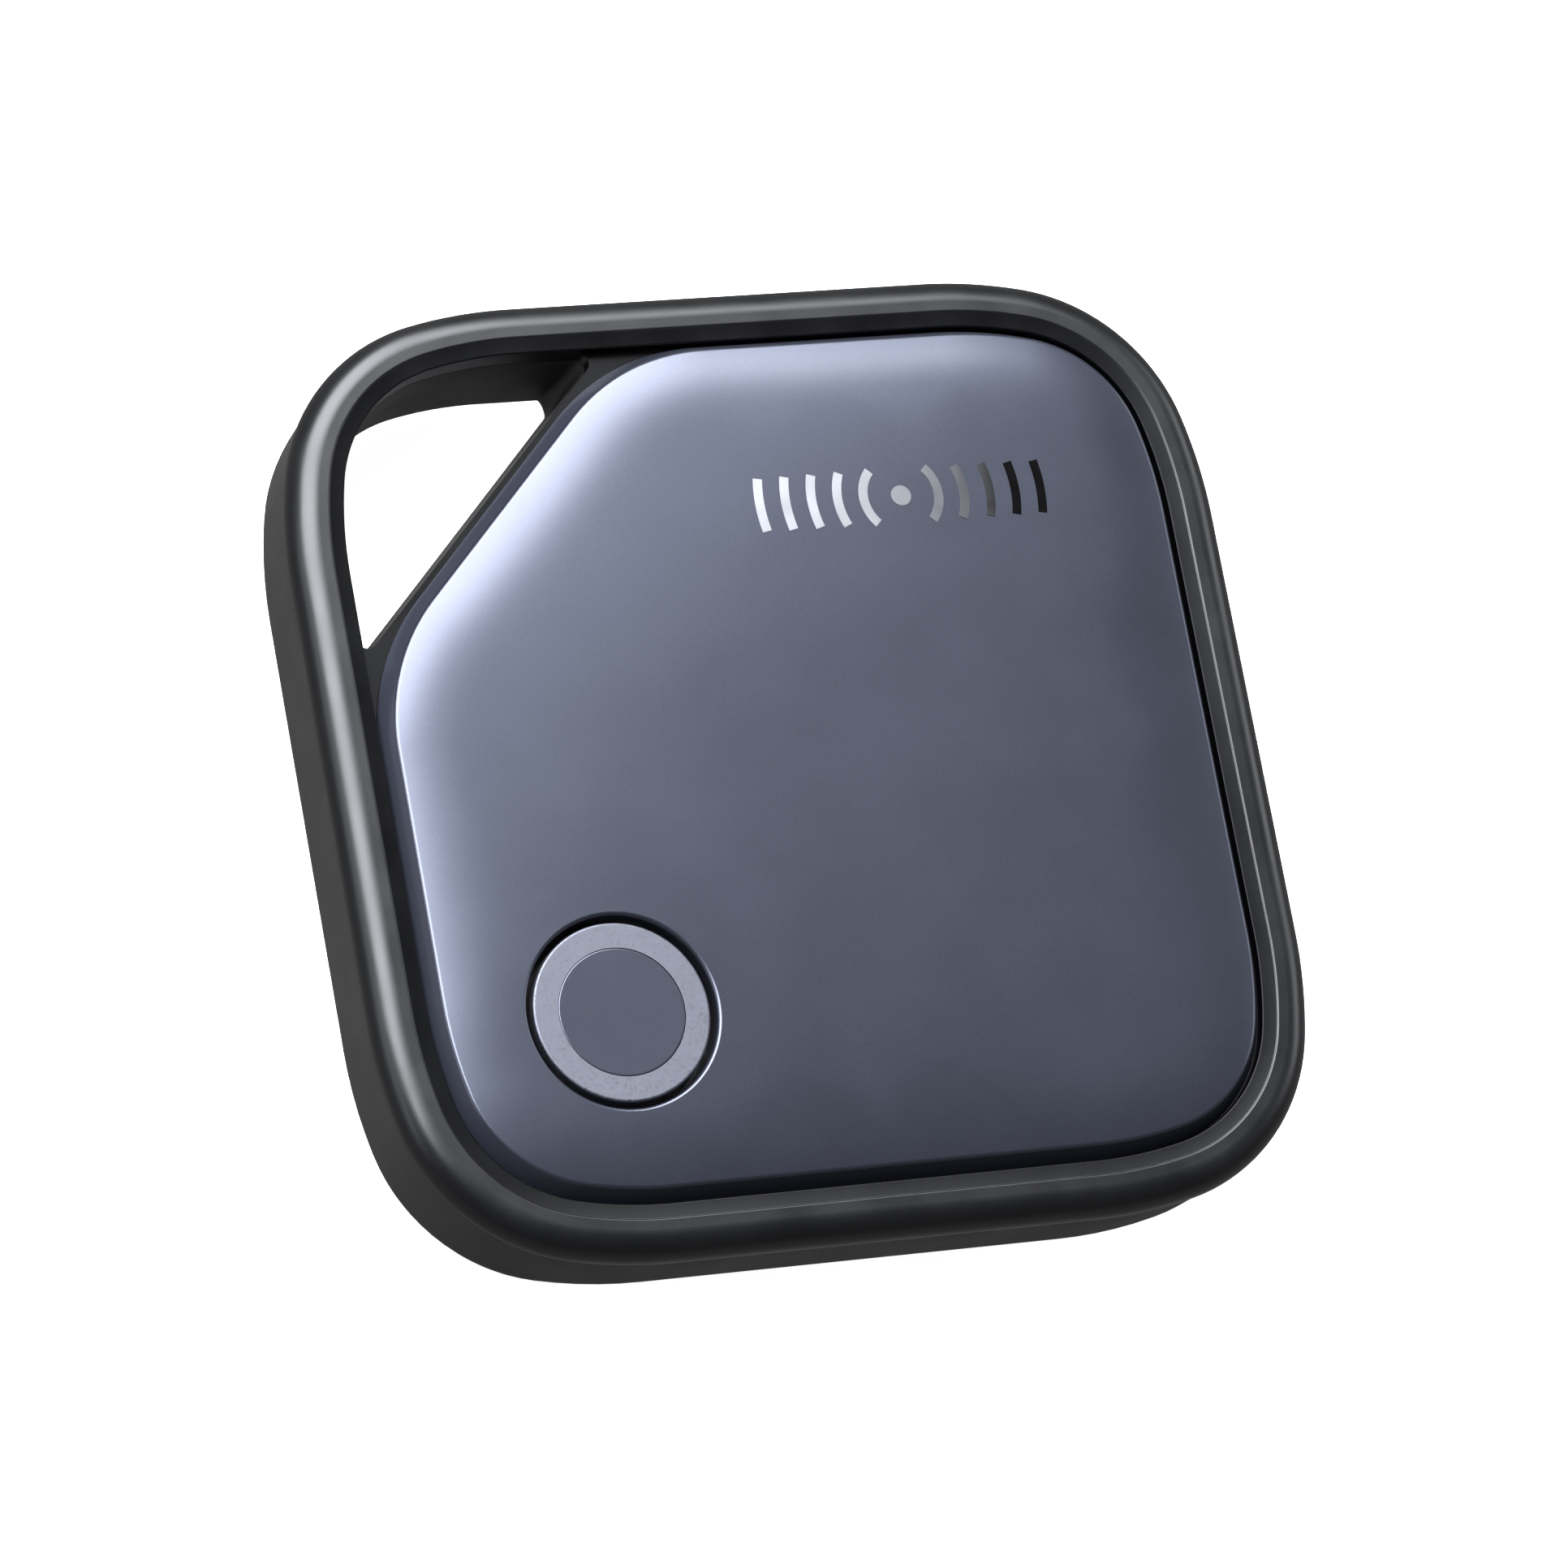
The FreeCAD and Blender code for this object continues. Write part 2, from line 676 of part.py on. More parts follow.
def make_panel_adhesive():
    body = new_body("panel_adhesive")
    sketch = new_sketch(body, "sheet", dim.deck_top + 0.01)
    margin = dim.adhesive_margin
    slant = dim.panel_base_slant - margin
    add_cut_outline(sketch, dim.panel_base_inset + margin, slant, dim.panel_blend - margin)
    add_circle(sketch, dim.button_x, dim.button_y, dim.button_hole_radius + 0.35)
    add_pad(body, sketch, dim.adhesive_thickness)


# ---------------------------------------------------------------- button


def make_button():
    """The round button: cap, ring, the carrier that holds both, and the seal under it."""
    x, y = dim.button_x, dim.button_y
    cap_radius = dim.button_ring_inner - 0.03
    soft = 0.12
    turned("button_cap", [
        (0.0, dim.button_floor),
        (cap_radius, dim.button_floor),
        (cap_radius, dim.button_top - soft),
        (cap_radius - soft, dim.button_top - 0.02),
        (0.0, dim.button_top),
    ], x, y)
    inner, outer = dim.button_ring_inner, dim.button_ring_outer
    turned("button_ring", [
        (inner, dim.button_floor),
        (outer, dim.button_floor),
        (outer, dim.button_top - soft),
        (outer - soft, dim.button_top),
        (inner, dim.button_top),
    ], x, y)
    floor = dim.button_floor - dim.carrier_thickness
    collar_top = DECK_BOTTOM - 0.04
    turned("button_carrier", [
        (0.0, dim.carrier_stem_bottom),
        (dim.carrier_stem_radius, dim.carrier_stem_bottom),
        (dim.carrier_collar_radius, dim.carrier_stem_bottom + 0.4),
        (dim.carrier_collar_radius, collar_top),
        (dim.carrier_stem_radius, collar_top),
        (dim.carrier_stem_radius, floor),
        (dim.button_ring_outer - 0.05, floor),
        (dim.button_ring_outer - 0.05, dim.button_floor),
        (0.0, dim.button_floor),
    ], x, y)
    bottom = dim.deck_top + 0.01
    top = dim.deck_top + dim.membrane_height
    skirt = 0.15
    hole = dim.carrier_stem_radius + 0.15
    lip = dim.button_ring_outer
    turned("button_membrane", [
        (hole, top - skirt),
        (lip - 0.7, top - skirt),
        (lip - 0.35, bottom),
        (lip + 0.15, bottom),
        (lip + 0.15, bottom + skirt),
        (lip - 0.15, bottom + skirt),
        (lip - 0.5, top),
        (hole, top),
    ], x, y)


def make_switch():
    """The tactile switch under the button: housing, snap dome and plunger."""
    x, y = dim.button_x, dim.button_y
    housing = new_body("tact_switch_body")
    base = new_sketch(housing, "base", BOARD_TOP)
    half = dim.switch_size * 0.5
    add_polygon(base, [(-half, -half), (half, -half), (half, half), (-half, half)])
    add_pad(housing, base, dim.switch_height)
    cavity_radius = 1.25
    floor = 0.08
    lid = 0.25
    mouth = new_sketch(housing, "mouth", BOARD_TOP + floor)
    add_circle(mouth, 0.0, 0.0, dim.plunger_radius + 0.1)
    add_pocket(housing, mouth, upwards=True)
    cavity = new_sketch(housing, "cavity", BOARD_TOP + floor)
    add_circle(cavity, 0.0, 0.0, cavity_radius)
    add_pocket(housing, cavity, dim.switch_height - floor - lid, upwards=True)
    place(housing, x, y)

    low = BOARD_TOP + floor + 0.01
    crown = BOARD_TOP + 0.36
    rim = cavity_radius - 0.1
    turned("switch_dome", [
        (0.0, crown - 0.08),
        (rim * 0.7, low + 0.1),
        (rim, low),
        (rim, low + 0.07),
        (rim * 0.7, low + 0.19),
        (0.0, crown),
    ], x, y)
    radius = dim.plunger_radius
    flange = cavity_radius - 0.15
    turned("switch_plunger", [
        (0.0, crown + 0.01),
        (flange, crown + 0.01),
        (flange, crown + 0.07),
        (radius, crown + 0.07),
        (radius, dim.carrier_stem_bottom - 0.02),
        (0.0, dim.carrier_stem_bottom - 0.02),
    ], x, y)


# ---------------------------------------------------------------- coin cell and contacts


def make_coin_cell():
    """The coin cell, its plus side down: the crimped can, the filled cap and the seal between."""
    x, y = dim.cell_x, dim.cell_y
    low = dim.cell_bottom
    wall = dim.can_thickness
    can_top = CELL_TOP - 0.2
    lip = dim.cap_radius + 0.4
    turned("cell_can", [
        (0.0, low),
        (dim.cell_radius - 0.25, low),
        (dim.cell_radius, low + 0.25),
        (dim.cell_radius, can_top - 0.25),
        (dim.cell_radius - 0.3, can_top),
        (lip, can_top),
        (lip, can_top - 0.2),
        (dim.cell_radius - wall, can_top - 0.45),
        (dim.cell_radius - wall, low + wall),
        (0.0, low + wall),
    ], x, y)
    turned("cell_cap", [
        (0.0, low + 0.45),
        (dim.cap_radius, low + 0.45),
        (dim.cap_radius, CELL_TOP - 0.3),
        (dim.cap_radius - 0.3, CELL_TOP),
        (0.0, CELL_TOP),
    ], x, y)
    turned("cell_gasket", [
        (dim.cap_radius - 0.6, low + 0.28),
        (dim.cell_radius - 0.3, low + 0.28),
        (dim.cell_radius - 0.3, can_top - 0.5),
        (lip - 0.03, can_top - 0.25),
        (lip - 0.03, can_top + 0.03),
        (dim.cap_radius + 0.03, can_top + 0.03),
        (dim.cap_radius + 0.03, low + 0.42),
        (dim.cap_radius - 0.6, low + 0.42),
    ], x, y)
    pad_top = low - 0.03
    turned("cell_pressure_pad", rectangle_profile(0.0, 7.5, dim.skin, pad_top), x, y)


def make_cell_well():
    """The moulded ring that holds the cell, with screw ears and a window for the side contact."""
    body = new_body("cell_well")
    ring = new_sketch(body, "ring", dim.well_bottom)
    add_circle(ring, 0.0, 0.0, dim.well_outer_radius)
    add_circle(ring, 0.0, 0.0, dim.well_inner_radius)
    add_pad(body, ring, dim.well_top - dim.well_bottom)
    ear_bottom = dim.board_bottom - dim.ear_thickness
    ears = new_sketch(body, "ears", ear_bottom)
    ear_width = dim.boss_radius.value
    near = dim.well_inner_radius.value + 0.3
    far = dim.boss_circle.value
    for angle in BOSS_ANGLES:
        turn = FreeCAD.Rotation(Vector(0, 0, 1), angle)
        flat_corners = ((near, -ear_width), (far, -ear_width), (far, ear_width), (near, ear_width))
        corners = [turn.multVec(Vector(along_ear, across, 0)) for along_ear, across in flat_corners]
        first = ears.GeometryCount
        along = math.radians(angle)
        ears.addGeometry(Part.LineSegment(corners[0], corners[1]))
        centre = polar(far, along)
        ears.addGeometry(arc(centre, ear_width, along - math.pi / 2, along + math.pi / 2))
        ears.addGeometry(Part.LineSegment(corners[2], corners[3]))
        ears.addGeometry(Part.LineSegment(corners[3], corners[0]))
        for index in range(4):
            following = first + (index + 1) % 4
            ears.addConstraint(Sketcher.Constraint("Coincident", first + index, 2, following, 1))
        drive(ears, Sketcher.Constraint("Radius", first + 1, ear_width), dim.boss_radius)
    add_pad(body, ears, dim.ear_thickness)
    holes = new_sketch(body, "holes", ear_bottom)
    for angle in BOSS_ANGLES:
        centre = polar(dim.boss_circle.value, math.radians(angle))
        add_circle(holes, centre.x, centre.y, dim.screw_radius + 0.1)
    add_pocket(body, holes, upwards=True)
    window = new_sketch(body, "window", dim.well_bottom + 0.6)
    near = dim.well_inner_radius.value - 1.0
    far = dim.well_outer_radius.value + 0.6
    turn = FreeCAD.Rotation(Vector(0, 0, 1), SIDE_CONTACT_ANGLE)
    half_window = 1.7
    outline = []
    for out, side in ((near, -half_window), (far, -half_window), (far, half_window), (near, half_window)):
        corner = turn.multVec(Vector(out, side, 0))
        outline.append((corner.x, corner.y))
    add_polygon(window, outline)
    add_pocket(body, window, upwards=True)
    place(body, dim.cell_x, dim.cell_y)


def make_contacts():
    """The two sprung strips: one over the cell's minus face, one against its side."""
    thick = dim.contact_thickness
    width = 2.4
    y = dim.cell_y + 4.4
    arm_bottom = CELL_TOP + 0.09
    foot_left = -8.6
    riser = -6.1
    tip = 3.4
    pieces = [
        box("minus_foot", (riser - foot_left, width, thick), ((foot_left + riser) / 2, y), BOARD_TOP),
        box("minus_riser", (thick, width, arm_bottom - BOARD_TOP + thick), (riser, y), BOARD_TOP),
        box("minus_arm", (tip - riser, width, thick), ((tip + riser) / 2, y), arm_bottom),
        cylinder("minus_dimple", 0.7, 0.06, (tip - 1.2, y), arm_bottom - 0.04),
    ]
    as_node(joined("negative_contact", pieces), "negative_contact")

    turn = FreeCAD.Rotation(Vector(0, 0, 1), SIDE_CONTACT_ANGLE)

    def radial_box(name, near, far, bottom, top):
        centre = turn.multVec(Vector((near + far) / 2, 0, 0))
        spot = (dim.cell_x + centre.x, dim.cell_y + centre.y)
        return box(name, (far - near, width, top - bottom), spot, bottom, SIDE_CONTACT_ANGLE)

    leaf = 0.15
    near = 10.08
    low = dim.well_bottom + 0.9
    high = dim.well_top + 0.35
    pieces = [
        radial_box("plus_blade", near, near + leaf, low, high),
        radial_box("plus_bridge", near, 12.2, high - leaf, high),
        radial_box("plus_riser", 12.05, 12.2, BOARD_TOP, high),
        radial_box("plus_foot", 12.05, 13.6, BOARD_TOP, BOARD_TOP + leaf),
    ]
    as_node(joined("positive_contact", pieces), "positive_contact")


# ---------------------------------------------------------------- circuit board


def make_board():
    body = new_body("main_pcb")
    sketch = new_sketch(body, "outline", dim.board_bottom)
    blend = dim.slant_blend - 1.3
    add_cut_outline(sketch, dim.board_inset, dim.board_slant, blend)
    add_pad(body, sketch, dim.board_thickness)
    cutout = new_sketch(body, "cell_cutout", dim.board_bottom)
    add_circle(cutout, dim.cell_x, dim.cell_y, dim.board_cutout_radius)
    add_pocket(body, cutout, upwards=True)
    holes = new_sketch(body, "screw_holes", dim.board_bottom)
    for angle in BOSS_ANGLES:
        x, y = around_cell(dim.boss_circle, angle)
        add_circle(holes, x, y, dim.screw_radius + 0.1)
    add_pocket(body, holes, upwards=True)


def make_chips():
    """The parts soldered to the board's upper side."""
    as_node(box("bluetooth_soc", (4.0, 4.0, 0.8), (-13.2, -3.4), BOARD_TOP), "bluetooth_soc")
    as_node(box("sounder_driver", (3.0, 3.0, 0.75), (1.5, -13.6), BOARD_TOP), "sounder_driver")
    as_node(box("chip_antenna", (2.0, 5.2, 1.1), (-15.3, -9.6), BOARD_TOP), "chip_antenna")
    inductor = joined("boost_inductor", [
        box("inductor_block", (3.0, 3.0, 1.2), (-3.4, -13.6), BOARD_TOP),
        box("inductor_end_a", (0.5, 3.1, 0.4), (-4.9, -13.6), BOARD_TOP),
        box("inductor_end_b", (0.5, 3.1, 0.4), (-1.9, -13.6), BOARD_TOP),
    ])
    as_node(inductor, "boost_inductor")
    grouped("crystal_oscillators", [
        box("crystal_fast", (2.0, 1.6, 0.5), (-14.4, 0.6), BOARD_TOP),
        box("crystal_slow", (1.5, 3.2, 0.7), (-9.2, -3.6), BOARD_TOP),
    ])
    passives = []
    spots = (
        [(-10.6 + 1.7 * step, 3.4 + 1.9 * (step % 2)) for step in range(2)]
        + [(5.0 + 1.9 * step, -13.2) for step in range(5)]
        + [(5.0 + 1.9 * step, 13.6) for step in range(4)]
        + [(-8.6 + 1.9 * step, -15.0) for step in range(2)]
        + [(-3.0 + 1.9 * step, 14.2) for step in range(3)]
    )
    for index, spot in enumerate(spots):
        passives.append(box("passive_" + str(index), (0.55, 1.05, 0.5), spot, BOARD_TOP))
    grouped("passives", passives)
    pads = []
    pad_height = 0.04
    for index in range(5):
        spot = (-12.4 + 1.8 * index, -5.6)
        pads.append(cylinder("pad_" + str(index), 0.55, pad_height, spot, dim.board_bottom - pad_height))
    grouped("test_pads", pads)


def make_screws():
    """Four machine screws: each clamps a well ear and the board against a frame boss."""
    screws = []
    head_top = dim.board_bottom - dim.ear_thickness
    head_bottom = head_top - dim.screw_head_height
    length = DECK_BOTTOM - head_top - 0.6
    for index, angle in enumerate(BOSS_ANGLES):
        spot = around_cell(dim.boss_circle, angle)
        name = "screw_" + str(index)
        head = cylinder(name + "_head", dim.screw_head_radius, dim.screw_head_height, spot, head_bottom)
        shank = cylinder(name + "_shank", dim.screw_radius, length, spot, head_top)
        whole = joined(name + "_whole", [head, shank])
        cross = joined(name + "_cross", [
            box(name + "_slot_a", (1.2, 0.25, 0.3), spot, head_bottom),
            box(name + "_slot_b", (0.25, 1.2, 0.3), spot, head_bottom),
        ])
        screw = doc.addObject("Part::Cut", name)
        screw.Base = whole
        screw.Tool = cross
        screws.append(screw)
    grouped("chassis_screws", screws)


# ---------------------------------------------------------------- sounder


def make_sounder():
    """The piezo disc glued under the deck, and the two small springs that feed it."""
    x, y = dim.piezo_x, dim.piezo_y
    glue_bottom = DECK_BOTTOM - dim.piezo_glue_thickness
    plate_bottom = glue_bottom - dim.piezo_plate_thickness
    ceramic_bottom = plate_bottom - dim.ceramic_thickness
    glue = rectangle_profile(dim.piezo_radius - 1.6, dim.piezo_radius - 0.1, glue_bottom, DECK_BOTTOM)
    turned("piezo_adhesive", glue, x, y)
    turned("piezo_plate", rectangle_profile(0.0, dim.piezo_radius, plate_bottom, glue_bottom), x, y)
    turned("piezo_ceramic", rectangle_profile(0.0, dim.ceramic_radius, ceramic_bottom, plate_bottom), x, y)
    springs = []
    for name, offset, top in (("plate", -6.6, plate_bottom), ("ceramic", -4.6, ceramic_bottom)):
        spot = (dim.piezo_x + offset, dim.piezo_y)
        base = cylinder(name + "_spring_base", 0.75, 0.5, spot, BOARD_TOP)
        pin = cylinder(name + "_spring_pin", 0.4, top - BOARD_TOP - 0.01, spot, BOARD_TOP)
        springs.append(joined(name + "_spring", [base, pin]))
    grouped("piezo_springs", springs)


def check_and_write():
    """Stop on any failed object or bad shape, then write one file for each sub-part."""
    doc.recompute()
    for thing in doc.Objects:
        if "Invalid" in thing.State or "Error" in thing.State:
            raise RuntimeError("failed object: " + thing.Name + " " + str(thing.State))
    os.makedirs("parts", exist_ok=True)
    for thing in node_objects:
        shape = thing.Shape
        if shape.isNull() or not shape.isValid() or not shape.Solids:
            raise RuntimeError("bad shape: " + thing.Label)
        print(thing.Label, len(shape.Solids), "solid(s), volume", round(shape.Volume, 2))
    for thing in node_objects:
        thing.Shape.exportStep(os.path.join("parts", thing.Label + ".step"))


make_rear_cover()
make_cover_seal()
make_coin_cell()
make_front_frame()
make_front_panel()
make_panel_adhesive()
make_button()
make_switch()
make_cell_well()
make_contacts()
make_board()
make_chips()
make_screws()
make_sounder()
check_and_write()
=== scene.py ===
import json
import math

import bmesh
import bpy
from mathutils import Matrix, Vector, geometry


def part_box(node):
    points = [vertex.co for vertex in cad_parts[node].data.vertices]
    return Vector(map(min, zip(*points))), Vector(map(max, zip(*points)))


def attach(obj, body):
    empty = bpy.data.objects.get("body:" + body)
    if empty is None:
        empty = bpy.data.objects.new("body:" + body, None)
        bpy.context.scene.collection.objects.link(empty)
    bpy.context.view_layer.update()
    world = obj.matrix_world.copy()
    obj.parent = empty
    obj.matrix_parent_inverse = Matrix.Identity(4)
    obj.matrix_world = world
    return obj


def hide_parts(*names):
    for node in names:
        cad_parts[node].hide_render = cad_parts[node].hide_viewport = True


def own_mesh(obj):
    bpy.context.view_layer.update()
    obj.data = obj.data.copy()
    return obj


# Looks of the tracker tag, which lies on its back: +Z points out of its front, and the key-ring hole
# is in its -X +Y corner. The tag's lengths are millimetres until they go into a mesh or a material.
# The camera, the lights and the floor are placed in metres.

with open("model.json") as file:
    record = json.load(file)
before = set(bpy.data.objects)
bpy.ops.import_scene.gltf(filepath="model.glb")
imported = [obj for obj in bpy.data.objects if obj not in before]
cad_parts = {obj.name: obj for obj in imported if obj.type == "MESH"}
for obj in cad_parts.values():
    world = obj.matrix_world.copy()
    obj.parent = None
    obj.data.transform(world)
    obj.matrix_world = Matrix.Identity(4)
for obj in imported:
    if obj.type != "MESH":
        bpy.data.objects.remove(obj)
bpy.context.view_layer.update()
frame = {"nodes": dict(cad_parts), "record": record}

MM = 0.001
TINY = 1e-6
WHITE = (1.0, 1.0, 1.0, 1.0)


def box_mm(node):
    """Lowest and highest corner of a CAD node, in millimetres."""
    low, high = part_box(node)
    return low / MM, high / MM


# ---------------------------------------------------------------- driving dimensions

FRAME_LOW, FRAME_HIGH = box_mm("front_frame")
REAR_HIGH = box_mm("rear_cover")[1]
PANEL_LOW, PANEL_HIGH = box_mm("front_panel")
RING_LOW, RING_HIGH = box_mm("button_ring")
CAP_LOW, CAP_HIGH = box_mm("button_cap")
CELL_LOW, CELL_HIGH = box_mm("cell_can")
PAD_LOW, PAD_HIGH = box_mm("cell_pressure_pad")
SEAL_LOW, SEAL_HIGH = box_mm("cover_seal")
BUTTON = (RING_LOW + RING_HIGH) / 2
CELL = (CELL_LOW + CELL_HIGH) / 2

# The case's outline: straight sides, and corners of a flat, a tight and a flat arc.
HALF_WIDTH = FRAME_HIGH.x
CORNER_BIG = 19.15
CORNER_SMALL = 7.9
CORNER_SWEEP = math.radians(12.85)

# Insets are measured from that outline, slants from the tag's centre.
SEAM_GAP = 0.06
SEAM = REAR_HIGH.z + SEAM_GAP
FRAME_TOP = FRAME_HIGH.z
FRAME_ROUND = 1.07
RIM_INSET = 1.53
LEDGE_INSET = 2.13
LEDGE_STEP = 0.105
DECK_TOP = 6.55
HOLE_SLANT = 16.03
HOLE_TIP = 0.4

SLANT_WALL = 0.9
SLANT_BLEND = 8.0
RIB_INSET = 1.75
RIB_GAP = 0.15
RIB_SLANT = HOLE_SLANT - SLANT_WALL - RIB_GAP
RIB_BLEND = SLANT_BLEND - RIB_GAP
RIB_THICKNESS = 0.8
RIB_DEPTH = 1.2

BOSS_CIRCLE = 12.75
BOSS_RADIUS = 1.3
BOSS_ANGLES = (45.0, 128.0, 232.0, 315.0)
PILOT_RADIUS = 0.5
PILOT_STOP = 0.3
BOSS_STEPS = 40
STEM_HOLE_RADIUS = 1.6

PANEL_BASE_INSET = 2.19
PANEL_BASE_SLANT = 15.81
PANEL_BLEND = 8.9
PANEL_BEVEL = math.radians(23.5)
PANEL_EDGE = 7.65
BUTTON_HOLE_RADIUS = 3.95
BUTTON_HOLE_STEPS = 96


# ---------------------------------------------------------------- camera and lights


def add_camera():
    """A long lens above the tag's -X -Y corner, rolled so that the key-ring hole is at the top left."""
    azimuth = math.radians(-54.311)
    elevation = math.radians(63.791)
    roll = math.radians(46.644)
    distance = 0.35279
    target = Vector((0.0, 0.0, 0.004413))
    back = Vector((
        math.sin(azimuth) * math.cos(elevation),
        -math.cos(azimuth) * math.cos(elevation),
        math.sin(elevation),
    ))
    right = (-back).cross(Vector((0, 0, 1))).normalized()
    up = right.cross(-back)
    across = right * math.cos(roll) + up * math.sin(roll)
    upward = up * math.cos(roll) - right * math.sin(roll)
    data = bpy.data.cameras.new("camera")
    data.sensor_width = 36.0
    data.lens = 205.12
    data.shift_x = -0.00088
    data.shift_y = -0.00522
    data.clip_start = 0.01
    data.clip_end = 20.0
    camera = bpy.data.objects.new("camera", data)
    bpy.context.scene.collection.objects.link(camera)
    turn = Matrix((across, upward, back)).transposed().to_4x4()
    camera.matrix_world = Matrix.Translation(target + back * distance) @ turn
    bpy.context.scene.camera = camera


def add_softbox(name, direction, across, distance, width, height, energy):
    """A rectangular light that faces the tag from a direction, its width lying along across."""
    data = bpy.data.lights.new(name, "AREA")
    data.shape = "RECTANGLE"
    data.size = width
    data.size_y = height
    data.energy = energy
    light = bpy.data.objects.new(name, data)
    towards = Vector(direction).normalized()
    along = Vector(across)
    along = (along - towards * along.dot(towards)).normalized()
    turn = Matrix((along, towards.cross(along), towards)).transposed().to_4x4()
    light.matrix_world = Matrix.Translation(towards * distance) @ turn
    bpy.context.scene.collection.objects.link(light)


def add_world(strength, backdrop):
    """Even, dim surroundings, with a pale backdrop where the camera sees past the floor."""
    world = bpy.data.worlds.new("studio")
    bpy.context.scene.world = world
    world.use_nodes = True
    nodes = world.node_tree.nodes
    links = world.node_tree.links
    nodes.clear()
    room = nodes.new("ShaderNodeBackground")
    room.inputs["Color"].default_value = WHITE
    room.inputs["Strength"].default_value = strength
    wall = nodes.new("ShaderNodeBackground")
    wall.inputs["Color"].default_value = (0.98, 0.98, 1.0, 1.0)
    wall.inputs["Strength"].default_value = backdrop
    seen = nodes.new("ShaderNodeLightPath")
    mix = nodes.new("ShaderNodeMixShader")
    output = nodes.new("ShaderNodeOutputWorld")
    links.new(seen.outputs["Is Camera Ray"], mix.inputs["Fac"])
    links.new(room.outputs[0], mix.inputs[1])
    links.new(wall.outputs[0], mix.inputs[2])
    links.new(mix.outputs[0], output.inputs["Surface"])


def add_studio():
    """One wide softbox beyond the key-ring hole, two weak low fills, and dim surroundings."""
    add_softbox("key", (-0.27, 0.545, 0.795), across=(1.0, 0.72, 0), distance=0.5,
                width=0.70, height=0.43, energy=12.5)
    add_softbox("fill_right", (0.95, 0.25, 0.45), across=(0, 1, 0), distance=0.8,
                width=0.5, height=0.3, energy=1.4)
    add_softbox("fill_left", (-0.96, 0.10, 0.25), across=(0, 1, 0), distance=0.8,
                width=0.6, height=0.3, energy=1.0)
    add_world(strength=0.12, backdrop=1.0)
    scene = bpy.context.scene
    scene.view_settings.view_transform = "Standard"
    scene.view_settings.look = "None"


# ---------------------------------------------------------------- material kit


class Surface:
    """A procedural material built round one principled shader."""

    def __init__(self, name, colour, roughness, metallic=0.0, **settings):
        self.material = bpy.data.materials.new(name)
        self.material.use_nodes = True
        self.tree = self.material.node_tree
        self.shader = self.tree.nodes["Principled BSDF"]
        self.colour = colour
        self.roughness = roughness
        self.put("Base Color", (*colour, 1.0))
        self.put("Roughness", roughness)
        self.put("Metallic", metallic)
        for socket, value in settings.items():
            self.put(socket.replace("_", " "), value)
        self.place = self.tree.nodes.new("ShaderNodeTexCoord").outputs["Object"]
        self.bumped = None

    def put(self, socket, value):
        self.shader.inputs[socket].default_value = value

    def node(self, kind, **inputs):
        """A new shader node of a kind, with some of its inputs set."""
        made = self.tree.nodes.new("ShaderNode" + kind)
        for socket, value in inputs.items():
            made.inputs[socket].default_value = value
        return made

    def link(self, output, entry):
        self.tree.links.new(output, entry)

    def stretched(self, scale):
        """Object coordinates, stretched by a scale along each axis."""
        mapping = self.node("Mapping")
        mapping.inputs["Scale"].default_value = scale
        self.link(self.place, mapping.inputs["Vector"])
        return mapping.outputs["Vector"]

    def noise(self, size_mm, detail=2.0, place=None):
        """Noise whose features are about size_mm across."""
        made = self.node("TexNoise", Scale=1.0 / (size_mm * MM), Detail=detail)
        self.link(place or self.place, made.inputs["Vector"])
        return made.outputs["Fac"]

    def spread(self, value, low, high, start=0.3, end=0.7):
        """A value's middle range mapped to low and high."""
        made = self.node("MapRange")
        limits = {"From Min": start, "From Max": end, "To Min": low, "To Max": high}
        for socket, limit in limits.items():
            made.inputs[socket].default_value = limit
        self.link(value, made.inputs["Value"])
        return made.outputs["Result"]

    def tint(self, value, dark, light, start=0.3, end=0.7):
        """A colour that runs from dark to light as a value rises."""
        ramp = self.node("ValToRGB")
        ramp.color_ramp.elements[0].position = start
        ramp.color_ramp.elements[0].color = (*dark, 1.0)
        ramp.color_ramp.elements[1].position = end
        ramp.color_ramp.elements[1].color = (*light, 1.0)
        self.link(value, ramp.inputs["Fac"])
        return ramp.outputs["Color"]

    def mottle(self, value, amount):
        """Vary the base colour a little, lighter and darker, by a value."""
        dark = tuple(channel * (1.0 - amount) for channel in self.colour)
        light = tuple(min(1.0, channel * (1.0 + amount)) for channel in self.colour)
        self.link(self.tint(value, dark, light), self.shader.inputs["Base Color"])

    def patchy(self, value, amount):
        """Vary the roughness by a value."""
        low = self.roughness - amount
        high = self.roughness + amount
        self.link(self.spread(value, low, high), self.shader.inputs["Roughness"])

    def painted_light_and_shade_share(self, shiny, painted_light_and_shade):
        """Set the metal share: the second value where the mesh is marked for painted light and shade, and
        shiny everywhere else.
        """
        painted_marks = self.node("Attribute")
        painted_marks.attribute_name = "painted_light_and_shade"
        share = self.spread(painted_marks.outputs["Fac"], shiny, painted_light_and_shade, 0.0, 1.0)
        self.link(share, self.shader.inputs["Metallic"])

    def bump(self, value, height_mm):
        """Raise the surface by a value times height_mm, on top of earlier bumps."""
        made = self.node("Bump", Strength=1.0, Distance=height_mm * MM)
        self.link(value, made.inputs["Height"])
        if self.bumped is not None:
            self.link(self.bumped, made.inputs["Normal"])
        self.bumped = made.outputs["Normal"]
        self.link(self.bumped, self.shader.inputs["Normal"])


